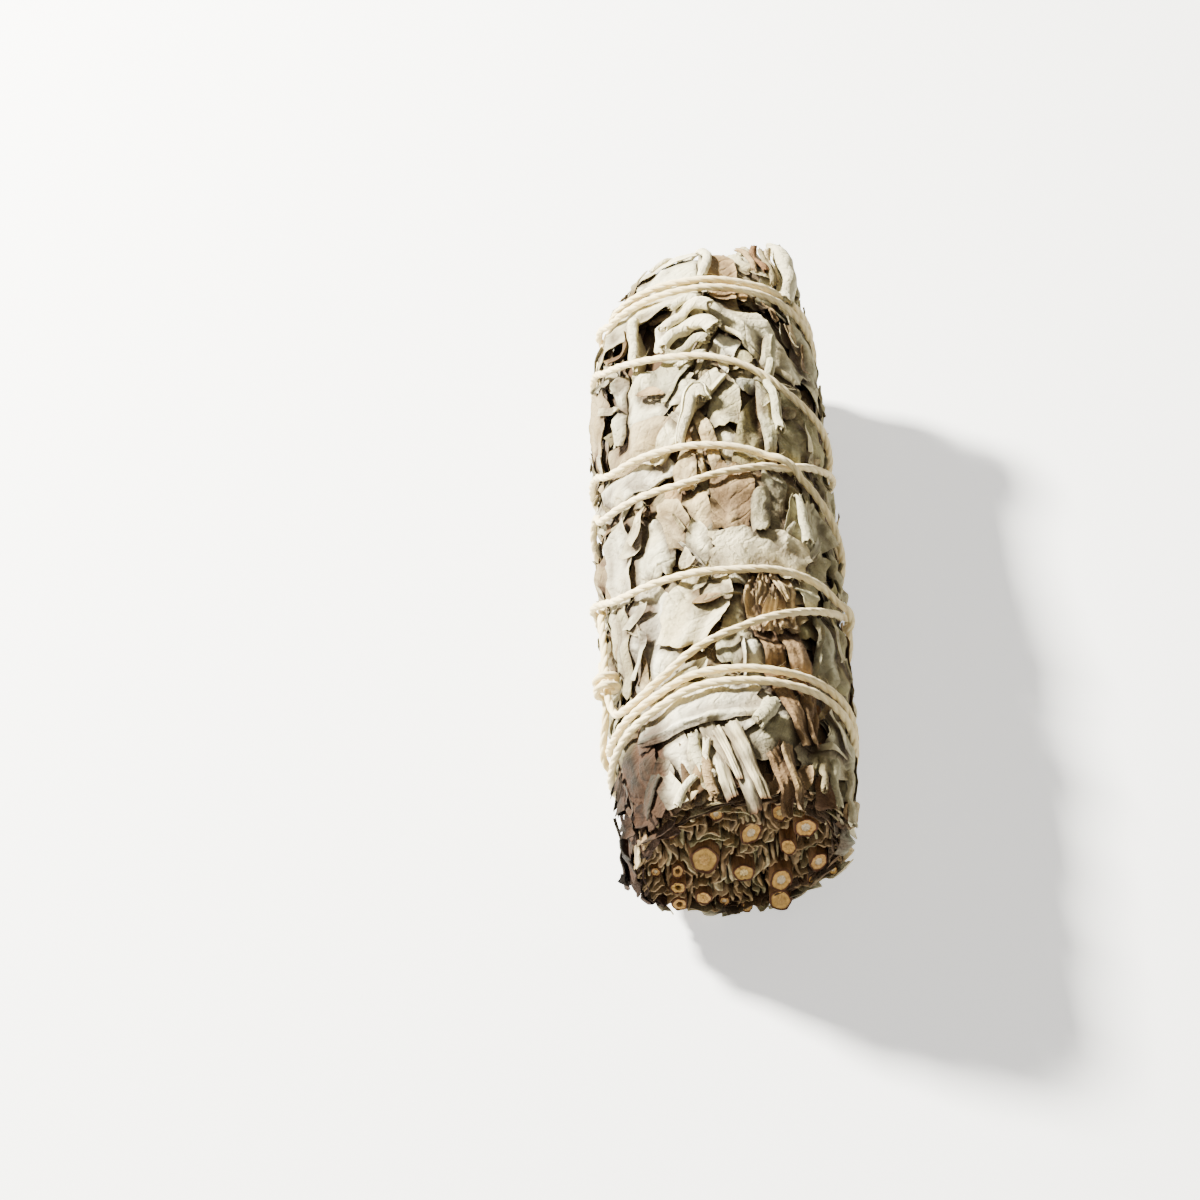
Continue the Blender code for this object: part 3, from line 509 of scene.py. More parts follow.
def knot_path():
    """The strand's last stretch: a coil round its own tail, and the loose end."""
    around = KNOT_AROUND + 360 * ROUTE_TURNS
    coil = []
    for k in range(KNOT_POINTS * KNOT_TURNS + 1):
        a = math.pi - math.tau * k / KNOT_POINTS
        arc = unrolled(around, 0)[0] + KNOT_COIL * math.cos(a)
        coil.append((arc, KNOT_FROM + KNOT_PITCH * k / KNOT_POINTS, KNOT_RISE + KNOT_COIL * math.sin(a)))
    before = [unrolled(around + a, s, rise) for a, s, rise in KNOT_APPROACH]
    after = [unrolled(around + a, s, rise) for a, s, rise in KNOT_TAIL]
    return before + coil + after


def twine_places():
    """The strand's centreline as rows of arc, along and rise."""
    wound = smooth_route([unrolled(*place)[:2] for place in ROUTE], 0.8)
    rises = strand_rises(wound)
    middle = KNOT_FROM + KNOT_PITCH * KNOT_TURNS / 2
    lift = (KNOT_RISE - TWINE_RISE) * eased((KNOT_LIFTS - np.abs(wound[:, 1] - middle)) / KNOT_EASE)
    rises = rises + (wound[:, 0] < 0) * lift
    upright = np.cos(wound[:, 0] / BELLY_RADIUS)
    below = np.maximum(-upright, 1e-3)
    lowest = (AXIS_HEIGHT - TWINE_RADIUS - FLOOR_GAP) / below - radius_at(wound[:, 1])
    pressed = np.minimum(rises, lowest + np.minimum(rises - TWINE_RISE, 0))
    wound_rises = np.where(upright < 0, pressed, rises)
    last = (*wound[-1], rises[-1])
    end = smooth_route([last] + knot_path(), 0.6)[1:]
    places = np.concatenate([np.column_stack([wound, wound_rises]), end])
    sunk = TWINE_SINK * eased(np.cos(places[:, 0] / BELLY_RADIUS) + 0.9)
    return places - sunk[:, None] * (0, 0, 1)


# The stack of leaves


class Stack:
    """The height of the leaves laid so far, on a grid of the unrolled surface that wraps round."""

    first = -5.0
    rows = int((LENGTH + 10) / CELL)
    columns = round(TURN / CELL)

    def __init__(self):
        self.height = np.zeros((self.rows, self.columns))
        self.scale = None

    def cell(self, along, arc):
        return (along - self.first) / CELL, arc / TURN * self.columns

    def read(self, field, along, arc):
        """The field at these places, between its cells."""
        i, j = self.cell(along, arc)
        i = np.clip(i, 0, self.rows - 1.001)
        i0, j0 = np.floor(i).astype(int), np.floor(j).astype(int)
        fi, fj = i - i0, j - j0
        a, b = j0 % self.columns, (j0 + 1) % self.columns
        near = field[i0, a] * (1 - fj) + field[i0, b] * fj
        far = field[i0 + 1, a] * (1 - fj) + field[i0 + 1, b] * fj
        return near * (1 - fi) + far * fi

    def highest(self, along, arc, reach):
        """The greatest height within reach of these places."""
        found = self.read(self.height, along, arc)
        for da, db in ((1, 0), (-1, 0), (0, 1), (0, -1)):
            found = np.maximum(found, self.read(self.height, along + da * reach, arc + db * reach))
        return found

    def press(self, along, arc, top):
        """Raises the height to a leaf's top, wherever its grid covers a cell."""
        fine = [denser(grid) for grid in (along, arc, top)]
        i, j = self.cell(fine[0], fine[1])
        i = np.clip(np.round(i).astype(int), 0, self.rows - 1)
        np.maximum.at(self.height, (i, np.round(j).astype(int) % self.columns), fine[2])

    def settle(self, twine):
        """Works out by how much each place is pressed: to its mean height, and in under the twine."""
        allowed = STACK_DEPTH + np.minimum(self.under_twine(twine), self.over_floor())
        mean = self.height
        peak = self.height
        for _ in range(9):
            mean = blurred(mean)
        for _ in range(2):
            peak = spread(peak, np.maximum)
        eased_scale = (STACK_DEPTH + TOP_RISE) / np.maximum(mean, 1)
        tight = allowed / np.maximum(peak, 0.5)
        for _ in range(2):
            tight = spread(tight, np.minimum)
        self.cover = self.height
        for _ in range(2):
            self.cover = spread(self.cover, np.maximum)
        self.scale = np.minimum(np.clip(eased_scale, 0.5, 1.3), tight)
        for _ in range(2):
            self.scale = blurred(self.scale)

    def under_twine(self, twine):
        """How high a leaf may stand here: below the strand, and in a valley beside it."""
        allowed = np.full(self.height.shape, MOST_RISE)
        reach = 12
        for arc, along, rise in twine:
            i, j = self.cell(along, arc)
            rows = np.arange(max(int(i) - reach, 0), min(int(i) + reach, self.rows))[:, None]
            columns = np.arange(int(j) - reach, int(j) + reach)[None, :]
            away = np.hypot(rows - i, columns - j) * CELL
            room = rise - TWINE_RADIUS - 0.04 + 0.75 * np.maximum(away - 0.4, 0) ** 1.15
            here = (rows, columns % self.columns)
            allowed[here] = np.minimum(allowed[here], room)
        return allowed

    def over_floor(self):
        along = self.first + CELL * np.arange(self.rows)[:, None]
        upright = np.cos(math.tau * np.arange(self.columns)[None, :] / self.columns)
        room = (AXIS_HEIGHT - FLOOR_CLEAR) / np.maximum(-upright, 0.05) - radius_at(along)
        return np.where(upright < -0.05, room, MOST_RISE)

    def placed(self, along, arc, height):
        """Where a point at this height of the stack ends up."""
        return on_bundle(arc, along, height * self.read(self.scale, along, arc) - STACK_DEPTH)


def denser(grid, times=4):
    """The grid read at more places, in straight lines between its own."""
    for _ in range(2):
        steps = np.linspace(0, len(grid) - 1, (len(grid) - 1) * times + 1)
        low = np.minimum(steps.astype(int), len(grid) - 2)
        share = (steps - low)[:, None]
        grid = (grid[low] * (1 - share) + grid[low + 1] * share).T
    return grid


def blurred(field):
    """The field's mean over five by five cells."""
    field = (np.roll(field, 2, 1) + 2 * np.roll(field, 1, 1) + 2 * field + 2 * np.roll(field, -1, 1)
             + np.roll(field, -2, 1)) / 8
    tall = np.pad(field, ((2, 2), (0, 0)), mode="edge")
    return (tall[:-4] + 2 * tall[1:-3] + 2 * tall[2:-2] + 2 * tall[3:-1] + tall[4:]) / 8


def spread(field, pick):
    """The highest or the lowest value next to each cell."""
    tall = np.pad(field, ((1, 1), (0, 0)), mode="edge")
    field = pick(pick(tall[:-2], tall[2:]), field)
    return pick(pick(np.roll(field, 1, 1), np.roll(field, -1, 1)), field)


def draped(floor, rounds):
    """A sheet that lies on floor, a grid of heights, and bridges its narrow gaps."""
    height = floor
    for _ in range(rounds):
        tall = np.pad(height, 1, mode="edge")
        mean = (tall[:-2, 1:-1] + tall[2:, 1:-1] + tall[1:-1, :-2] + tall[1:-1, 2:]) / 4
        height = np.maximum(floor, mean)
    return height


def half_width(shape, b):
    """How wide a leaf is along its length, from 0 at its foot to 1 at its far end."""
    if shape == "lance":
        return np.sin(math.pi * (0.05 + 0.9 * b)) ** 0.7
    if shape == "tip":
        return 0.12 + 0.88 * np.clip(1 - b**2.4, 0, 1) ** 0.8
    if shape == "strip":
        return 0.5 + 0.5 * np.sin(math.pi * b) ** 0.6
    if shape == "rod":
        return 0.78 + 0.22 * b
    if shape == "pleat":
        return 0.3 + 0.7 * np.sin(math.pi * (0.08 + 0.8 * b))
    return 0.86 + 0.14 * np.sin(math.pi * b)


def leaf_sheet(stack, leaf, rng, fine, calm=1.0):
    """Lays one leaf on the stack."""
    quad = FINE_QUAD if fine else COARSE_QUAD
    rows = max(5, round(leaf.length / quad))
    fewest = {"strip": 6, "rolled": 6, "rod": 10, "pleat": 16}.get(leaf.shape, 4)
    columns = max(fewest, round(leaf.width / quad))
    b = np.linspace(0, 1, rows + 1)[:, None]
    a = np.linspace(-1, 1, columns + 1)[None, :]
    half = half_width(leaf.shape, b) * leaf.width / 2
    rough = 0.13 if leaf.shape == "torn" else 0.07
    near_edge = 1 + rough * ripples(b * leaf.length, 0 * b, rng, 8, 5, 0.3)
    far_edge = 1 + rough * ripples(b * leaf.length, 0 * b, rng, 8, 5, 0.3)
    half = half * np.where(a < 0, near_edge, far_edge)
    v = a * half + 0.05 * leaf.width * ripples(b * leaf.length, 0 * b, rng, 14, 2)
    jagged = rng.uniform(-1, 1, (2, columns + 1)) * min(0.6, leaf.width * 0.09)
    slant = rng.uniform(-0.3, 0.3, 2)[:, None] * leaf.width * a / 2
    ends = jagged + slant + 0.5 * ripples(a * leaf.width / 2, 0 * a, rng, 5, 3)
    ends = ends * half_width(leaf.shape, np.array([[0.0], [1.0]]))
    u = (b - 0.5) * leaf.length + ends[0] * (1 - b) ** 3 + ends[1] * b**3
    u = u + 0.4 * ripples(b * leaf.length, v, rng, 16, 2)
    v = v + 0.05 * leaf.length * rng.uniform(-1, 1) * (b - 0.5) ** 2 * 4

    relief = WAVES[0] * calm * ripples(u, v, rng, WAVES[1], 4, 0.4)
    pleats = rng.uniform(*PLEATS) * calm
    relief = relief + pleats * ripples(0.12 * u, v, rng, 5.5, 3, 0.4)
    if leaf.shape in ("lance", "tip", "torn"):
        relief = relief + RIB[0] * np.exp(-((v / RIB[1]) ** 2)) * (1 - 0.6 * b)
    curl = rng.uniform(*CURL, 2) * calm
    relief = relief + np.where(a < 0, curl[0], curl[1]) * np.abs(a) ** 4
    lift = rng.uniform(0, MOST_LIFT, 2) * calm
    relief = relief + lift[0] * eased((0.25 - b) / 0.25) + lift[1] * eased((b - 0.75) / 0.25)
    if leaf.shape == "strip":
        ridge = min(1.1, 0.42 * leaf.width)
        relief = relief + ridge * (1 - np.abs(a) ** 2.2) + 0.12 * np.cos(3 * math.pi * a)
    if leaf.shape == "rod":
        grooves = np.cos(3 * math.pi * a + 1.2 * ripples(u, 0 * v, rng, 9, 2))
        relief = relief + min(1.1, 0.42 * leaf.width) * (1 - np.abs(a) ** 2.6) + 0.16 * grooves
    if leaf.shape == "pleat":
        folds = 1 - np.abs(np.sin(1.35 * math.pi * a + 1.5 * ripples(u, 0.6 * v, rng, 6, 3)))
        relief = relief + 0.8 * folds * (0.6 + 0.4 * np.sin(math.pi * b)) + 0.5 * (1 - a**2)
    if leaf.shape == "rolled":
        edge = eased((a - 0.1) / 0.9)
        relief = relief + min(1.5, 0.3 * leaf.width) * np.sin(math.pi * np.clip(edge, 0, 1) ** 0.8)
        v = v - 0.35 * half * edge**2
    fold = rng.uniform(*FOLD_FROM)
    folded = leaf.shape == "torn" and leaf.width > 5 and rng.uniform() < FOLDED_SHARE * calm
    if folded:
        side = rng.choice((-1, 1))
        over = np.maximum(side * a - fold, 0)
        v = v - side * 1.75 * over * half
        relief = relief + 0.75 * eased(over / 0.2)
    relief = relief - 0.75 * relief.min()

    turn = math.radians(leaf.heading)
    along = leaf.along + u * math.cos(turn) - v * math.sin(turn)
    sideways = u * math.sin(turn) + v * math.cos(turn)
    arc = math.radians(leaf.around) * BELLY_RADIUS + sideways * BELLY_RADIUS / radius_at(leaf.along)
    angle = arc / BELLY_RADIUS
    short = rng.uniform(-0.3, SHORTEST_END, 2) - 4 * (leaf.shape == "rod")
    along = along - np.maximum(along + short[0] - end_at(TIP_END, angle), 0) * END_SQUEEZE
    along = along + np.maximum(end_at(CUT_END, angle) + short[1] - along, 0) * END_SQUEEZE
    floor = stack.highest(along, arc, 0.35)
    bottom = draped(floor, 10 if fine else 6) + LEAF_GAP + relief
    edge = np.minimum(1, np.minimum(np.minimum(b, 1 - b) * leaf.length, (1 - np.abs(a)) * half) / 0.5)
    top = bottom + LEAF_THICK * (0.55 + 0.45 * edge)
    stack.press(along, arc, top)
    return Sheet(along, arc, bottom, top, together(u, v, rng.uniform(0, 50)), leaf.tone)


def random_leaves(rng, settings, shapes, tones, side="all"):
    """Leaves spread evenly over the bundle, or over its front or its back alone."""
    count, lengths, widths, sway = settings
    made = []
    for n in range(count):
        along = 3 + (LENGTH - 6) * ((n * ALONG_STEP + rng.uniform(-0.03, 0.03)) % 1)
        around = (360 * n * AROUND_STEP + rng.uniform(-12, 12)) % 360
        around = around - 360 if around > 180 else around
        if side != "all" and (abs(around) < FRONT_HALF) != (side == "front"):
            continue
        if any(abs(along - p[0]) < p[2] + 5 and abs(around - p[1]) < p[3] + 6 for p in PITS):
            continue
        shape = shapes[rng.integers(len(shapes))]
        width = rng.uniform(*widths) * (0.45 if shape in ("strip", "rolled") else 1)
        heading = rng.normal(0, sway) + 180 * rng.integers(2)
        if rng.uniform() < 0.12:
            heading += 80
        tone = tones[rng.integers(len(tones))]
        made.append(Leaf(along, around, rng.uniform(*lengths), width, heading, shape, tone))
    return made


class Mesh:
    """Points, faces and attributes that add up to one piece."""

    def __init__(self):
        self.points, self.faces, self.tints, self.locals = [], [], [], []
        self.count = 0

    def add(self, points, faces, tint, local=None):
        self.points.append(points.reshape(-1, 3))
        self.faces.append(np.where(faces < 0, -1, faces + self.count))
        size = len(self.points[-1])
        self.tints.append(np.broadcast_to(tint, (size, 3)) if np.ndim(tint) == 1 else tint.reshape(-1, 3))
        self.locals.append(np.zeros((size, 3)) if local is None else local.reshape(-1, 3))
        self.count += size

    def add_shell(self, sides, tints, local, flip=False):
        """Adds a closed shell, from its upper and its lower grid of points and their tints."""
        faces = shell_faces(*local.shape[:2])
        if flip:
            faces = faces[:, ::-1]
        points, tint, local = (np.concatenate([grid.reshape(-1, 3) for grid in grids])
                               for grids in (sides, tints, (local, local)))
        self.add(points, faces, tint, local)

    def make(self, name, material):
        points = np.concatenate(self.points)
        points[:, 2] = np.maximum(points[:, 2], FLOOR_CLEAR)
        points *= MM
        faces = [[corner for corner in face if corner >= 0] for face in np.concatenate(self.faces).tolist()]
        mesh = bpy.data.meshes.new(name)
        mesh.from_pydata(points.tolist(), [], faces)
        tint = mesh.attributes.new("tint", "FLOAT_COLOR", "POINT")
        rgba = np.ones((len(points), 4), np.float32)
        rgba[:, :3] = np.concatenate(self.tints)
        tint.data.foreach_set("color", rgba.ravel())
        local = mesh.attributes.new("local", "FLOAT_VECTOR", "POINT")
        local.data.foreach_set("vector", np.concatenate(self.locals).astype(np.float32).ravel())
        mesh.materials.append(material)
        mesh.shade_smooth()
        mesh.set_sharp_from_angle(angle=math.radians(SHARP_ANGLE))
        made = bpy.data.objects.new(name, mesh)
        bpy.context.scene.collection.objects.link(made)
        return made


def shell_faces(rows, columns):
    """The faces of a closed shell whose upper grid of points comes first and whose lower grid follows."""
    index = np.arange(rows * columns).reshape(rows, columns)
    quads = np.stack([index[:-1, :-1], index[:-1, 1:], index[1:, 1:], index[1:, :-1]], -1).reshape(-1, 4)
    under = rows * columns
    rim = np.concatenate([index[0, :-1], index[:-1, -1], index[-1, :0:-1], index[:0:-1, 0]])
    after = np.roll(rim, -1)
    sides = np.stack([rim, rim + under, after + under, after], -1)
    return np.concatenate([quads[:, ::-1], quads + under, sides[:, ::-1]])


def sheet_shell(stack, sheet, mesh, rng):
    """Adds a laid leaf's shell to a piece, browner at its rim, with painted shade in crevices and deep in the
    stack.
    """
    rows, columns = sheet.top.shape
    upper = stack.placed(sheet.along, sheet.arc, sheet.top)
    lower = stack.placed(sheet.along, sheet.arc, sheet.bottom)
    base = linear(TONES[sheet.tone]) * rng.uniform(*TONE_SPREAD)
    base = base * (1 + rng.uniform(-0.03, 0.03) * np.array((1, 0.2, -1.3)))
    depth = stack.read(stack.height, sheet.along, sheet.arc) - sheet.top
    sunk = np.clip(depth / 1.6, 0, 1)[..., None] ** 0.7
    beside = stack.read(stack.cover, sheet.along, sheet.arc) - sheet.top
    crevice = np.clip((beside - 0.3) / 1.1, 0, 1)[..., None] ** 0.8
    u, v = sheet.local[..., 0], sheet.local[..., 1]
    stain = eased(0.5 + 0.9 * ripples(u, v, rng, 11, 4) - 0.35)[..., None]
    rim = np.zeros((rows, columns, 1))
    rim[[0, -1]] = 1
    rim[:, [0, -1]] = 1
    colour = base * (1 - STAINED * stain * (0.7, 0.95, 1.5))
    colour = colour + (linear(TONES["brown"]) * 0.8 - colour) * RIM_BROWNED * rim
    left = -np.sin(sheet.arc / BELLY_RADIUS)[..., None]
    # Painted shadow over the left flank
    colour = colour * (1 - FLANK_PAINTED_SHADE * eased((left - 0.5) / 0.4))
    # Painted shadow: near the cut end, the leaves of the left flank are turned almost to the shade tone
    cut_end_shadow = eased((18 - sheet.along[..., None]) / 8) * eased((left - 0.56) / 0.12)
    colour = colour + (linear(TONES["shade"]) - colour) * rng.uniform(0.93, 1.0) * cut_end_shadow
    if sheet.tone == "stalk":
        foot = eased((u.min() + 1.1 - u) / 0.6)[..., None]
        colour = colour + (linear(TONES["bark"]) - colour) * foot
    # Painted shade: darker towards the gap tone in a crevice beside a higher leaf, and where later leaves lie
    # over this one
    dark = 1 - (1 - CREVICE_PAINTED_SHADE * crevice) * (1 - DEEP_PAINTED_SHADE * sunk)
    colour = colour + (linear(TONES["gap"]) - colour) * dark
    # Painted shade: the leaf's lower side gets a darker copy of its colour
    mesh.add_shell((upper, lower), (colour, UNDERSIDE_PAINTED_SHADE * colour), sheet.local)


# Materials


class Nodes:
    """A short way to write a material's nodes."""

    def __init__(self, name, roughness, sheen=0.0):
        self.material = bpy.data.materials.new(name)
        self.material.use_nodes = True
        self.tree = self.material.node_tree
        self.shader = self.tree.nodes["Principled BSDF"]
        self.shader.inputs["Roughness"].default_value = roughness
        self.shader.inputs["Sheen Weight"].default_value = sheen
        self.shader.inputs["Sheen Roughness"].default_value = 0.6
        self.shader.inputs["Specular IOR Level"].default_value = 0.12

    def add(self, kind, output=0, values=None, **links):
        node = self.tree.nodes.new("ShaderNode" + kind)
        for key, value in (values or {}).items():
            if isinstance(key, str) and hasattr(node, key):
                setattr(node, key, value)
            else:
                node.inputs[key].default_value = value
        for key, value in links.items():
            target = node.inputs[int(key[1:])] if key[0] == "i" and key[1:].isdigit() else node.inputs[key]
            self.tree.links.new(value, target)
        return node.outputs[output]

    def link(self, value, socket):
        """Sets a socket to a value, or links it to a node's output."""
        if hasattr(value, "is_linked"):
            self.tree.links.new(value, socket)
        else:
            socket.default_value = value

    def attribute(self, name):
        return self.add("Attribute", 0 if name == "tint" else 1, {"attribute_name": name})

    def math(self, operation, a, b=0.5):
        node = self.tree.nodes.new("ShaderNodeMath")
        node.operation = operation
        self.link(a, node.inputs[0])
        self.link(b, node.inputs[1])
        return node.outputs[0]

    def noise(self, vector, scale, detail=3.0, roughness=0.55):
        settings = {"Scale": scale, "Detail": detail, "Roughness": roughness}
        return self.add("TexNoise", 0, settings, Vector=vector)

    def mix(self, factor, a, b, blend="MIX"):
        node = self.tree.nodes.new("ShaderNodeMix")
        node.data_type = "RGBA"
        node.blend_type = blend
        for place, value in ((0, factor), (6, a), (7, b)):
            self.link(value, node.inputs[place])
        return node.outputs[2]

    def tinted(self, level):
        """The piece's own tint, at this level of light and dark."""
        shade = self.add("CombineColor", 0, {}, i0=level, i1=level, i2=level)
        return self.mix(1.0, self.attribute("tint"), shade, "MULTIPLY")

    def bump(self, height, distance, strength=1.0, normal=None):
        node = self.tree.nodes.new("ShaderNodeBump")
        node.inputs["Strength"].default_value = strength
        node.inputs["Distance"].default_value = distance
        self.tree.links.new(height, node.inputs["Height"])
        if normal:
            self.tree.links.new(normal, node.inputs["Normal"])
        return node.outputs[0]

    def finish(self, colour, normal):
        self.tree.links.new(colour, self.shader.inputs["Base Color"])
        self.tree.links.new(normal, self.shader.inputs["Normal"])
        return self.material


def position(nodes):
    """The point's own place in millimetres."""
    place = nodes.add("TexCoord", 3)
    return nodes.add("VectorMath", 0, {"operation": "SCALE", "Scale": 1000.0}, i0=place)


def leaf_material(name, veins=1.0):
    """Dry felted leaf: its own tint, mottled, with raised veins and a fine pebbled surface."""
    nodes = Nodes(name, 0.9, sheen=0.02)
    place = position(nodes)
    local = nodes.attribute("local")
    mottle = nodes.noise(place, 0.55, 4.0, 0.6)
    speckle = nodes.noise(place, 3.2, 3.0, 0.65)
    level = nodes.math("ADD", nodes.math("MULTIPLY", mottle, 0.42), nodes.math("MULTIPLY", speckle, 0.26))
    colour = nodes.tinted(nodes.math("ADD", level, 0.66))
    split = nodes.tree.nodes.new("ShaderNodeSeparateXYZ")
    nodes.tree.links.new(local, split.inputs[0])
    across = nodes.math("ABSOLUTE", split.outputs[1])
    slanted = nodes.math("SUBTRACT", split.outputs[0], nodes.math("MULTIPLY", across, 0.9))
    wobble = nodes.math("MULTIPLY", nodes.noise(local, 0.5, 2.0), 1.6)
    wave = nodes.math("SINE", nodes.math("MULTIPLY", nodes.math("ADD", slanted, wobble), 2.6))
    ridge = nodes.math("POWER", nodes.math("ADD", nodes.math("MULTIPLY", wave, 0.5), 0.5), 9.0)
    cells = nodes.add("TexVoronoi", 0, {"feature": "DISTANCE_TO_EDGE", "Scale": 1.15}, Vector=local)
    net = nodes.math("MINIMUM", nodes.math("MULTIPLY", cells, 4.0), 1.0)
    height = nodes.math("ADD", nodes.math("MULTIPLY", ridge, 0.8 * veins), nodes.math("MULTIPLY", net, 0.35))
    wrinkles = nodes.noise(place, 0.95, 2.0, 0.5)
    normal = nodes.bump(wrinkles, 0.0005, 0.75)
    normal = nodes.bump(height, 0.00012, 0.85, normal)
    grain = nodes.noise(place, 5.5, 4.0, 0.7)
    normal = nodes.bump(grain, 0.00016, 0.75, normal)
    return nodes.finish(colour, normal)


def twine_material():
    """Unbleached cotton: fibres along each ply, cream with paler and darker strands."""
    nodes = Nodes("cotton_twine_finish", 0.9, sheen=0.15)
    local = nodes.attribute("local")
    stretched = nodes.add("VectorMath", 0, {"operation": "MULTIPLY", 1: (0.6, 5.0, 1.0)}, i0=local)
    fibres = nodes.noise(stretched, 1.6, 4.0, 0.7)
    colour = nodes.tinted(nodes.math("ADD", nodes.math("MULTIPLY", fibres, 0.36), 0.8))
    return nodes.finish(colour, nodes.bump(fibres, 0.00012, 0.8))


def wood_material(name):
    """Fibrous stalk: streaks along it over its own tint."""
    nodes = Nodes(name, 0.8)
    place = position(nodes)
    streaks = nodes.add("VectorMath", 0, {"operation": "MULTIPLY", 1: (1.0, 0.12, 1.0)}, i0=place)
    fibres = nodes.noise(streaks, 4.0, 4.0, 0.7)
    colour = nodes.tinted(nodes.math("ADD", nodes.math("MULTIPLY", fibres, 0.8), 0.58))
    return nodes.finish(colour, nodes.bump(fibres, 0.0002, 0.7))


def plain_material(name, rgb, roughness, glow):
    nodes = Nodes(name, roughness)
    nodes.shader.inputs["Base Color"].default_value = (*linear(rgb), 1)
    nodes.shader.inputs["Emission Color"].default_value = (1, 1, 1, 1)
    nodes.shader.inputs["Emission Strength"].default_value = glow
    return nodes.material


# Pieces


def ring_faces(rings, sides):
    """The faces of a tube whose points come ring by ring, then each end's middle. -1 stands for no corner."""
    index = np.arange(rings * sides).reshape(rings, sides)
    after = np.roll(index, -1, 1)
    quads = np.stack([index[:-1], after[:-1], after[1:], index[1:]], -1).reshape(-1, 4)
    none, middle = np.full(sides, -1), np.full(sides, rings * sides)
    near = np.stack([index[0], middle, after[0], none], -1)
    far = np.stack([index[-1], after[-1], middle + 1, none], -1)
    return quads, near, far


def frames_along(path):
    """Unit vectors along, and two across, a path of points, without twist."""
    ahead = np.gradient(path, axis=0)
    ahead /= np.linalg.norm(ahead, axis=1)[:, None]
    across = np.zeros_like(path)
    side = np.cross(ahead[0], (0.31, 0.17, 0.94))
    for i, way in enumerate(ahead):
        side = side - way * (side @ way)
        side = side / np.linalg.norm(side)
        across[i] = side
    return ahead, across, np.cross(ahead, across)


def tube(mesh, path, radii, sides, tint, wobble=0.0, rng=None):
    """Adds a round tube with closed ends to a piece."""
    path = np.asarray(path, float)
    radii = np.broadcast_to(radii, (len(path),))[:, None]
    _, across, other = frames_along(path)
    angle = math.tau * np.arange(sides)[None, :] / sides
    if wobble:
        lobes = rng.integers(2, 5)
        phase = rng.uniform(0, math.tau)
        radii = radii * (1 + wobble * np.sin(lobes * angle + phase + np.linspace(0, 2, len(path))[:, None]))
    ring = np.cos(angle)[..., None] * across[:, None] + np.sin(angle)[..., None] * other[:, None]
    rings = path[:, None] + radii[..., None] * ring
    run = np.concatenate([[0], np.cumsum(np.linalg.norm(np.diff(path, axis=0), axis=1))])
    local = together(run[:, None], angle / math.tau * 2, np.float64(mesh.count % 97))
    points = np.concatenate([rings.reshape(-1, 3), path[[0, -1]]])
    local = np.concatenate([local.reshape(-1, 3), np.zeros((2, 3))])
    tints = np.broadcast_to(tint, (len(path), 3)) if np.ndim(tint) == 1 else tint
    tints = np.concatenate([np.repeat(tints, sides, 0), tints[[0, -1]]])
    quads, near, far = ring_faces(len(path), sides)
    mesh.add(points, np.concatenate([quads[:, ::-1], near, far]), tints, local)


def ride(made, slot, *nodes):
    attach(made, "root")
    if nodes:
        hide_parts(*nodes)
    return made


def resampled(path, step):
    """The path's points at even steps."""
    run = np.concatenate([[0], np.cumsum(np.linalg.norm(np.diff(path, axis=0), axis=1))])
    places = np.linspace(0, run[-1], max(2, int(run[-1] / step)))
    return places, np.column_stack([np.interp(places, run, path[:, k]) for k in range(path.shape[1])])


def make_twine(twine, rng):
    """The strand: three plies twisted together, and loose fibres that stand off it."""
    path = on_bundle(twine[:, 0], twine[:, 1], twine[:, 2])
    run, path = resampled(path, PLY_STEP)
    _, across, other = frames_along(path)
    mesh = Mesh()
    cream = linear((238, 220, 172))
    for ply in range(3):
        angle = math.tau * (run / PLY_TWIST + ply / 3)
        offset = PLY_OFFSET * (1 + 0.06 * np.sin(run * 0.9 + ply))
        centre = path + offset[:, None] * (np.cos(angle)[:, None] * across + np.sin(angle)[:, None] * other)
        thick = PLY_RADIUS * (1 + 0.09 * np.sin(run * 1.3 + 2 * ply) * np.sin(run * 0.37 + ply))
        warm = 0.5 + 0.5 * np.sin(run * 0.11 + 2 * ply)
        tint = cream * (1 - 0.07 * warm[:, None] * (0.5, 1.0, 2.2))
        tube(mesh, centre, thick, PLY_SIDES, tint)
    low = path[:, 2] - PLY_RADIUS - PLY_OFFSET
    for k in rng.integers(4, len(path) - 4, FUZZ):
        if low[k] < 1.5:
            continue
        angle = rng.uniform(0, math.tau)
        out = math.cos(angle) * across[k] + math.sin(angle) * other[k]
        ahead = path[k + 1] - path[k]
        ahead = ahead / np.linalg.norm(ahead) * rng.choice((-1, 1))
        length = rng.uniform(*FUZZ_LENGTH)
        t = np.linspace(0, 1, 5)[:, None]
        bend = rng.normal(0, 0.35, 3)
        fibre = path[k] + out * (TWINE_RADIUS - 0.12) + length * t * (0.75 * ahead + 0.42 * out)
        fibre = fibre + length * t**2 * bend * 0.7
        fibre[:, 2] = np.maximum(fibre[:, 2], 0.1)
        tube(mesh, fibre, FUZZ_RADIUS * (1.15 - t[:, 0]), 3, cream)
    ride(mesh.make("twine_plies", twine_material()), "cotton_twine", "twine")


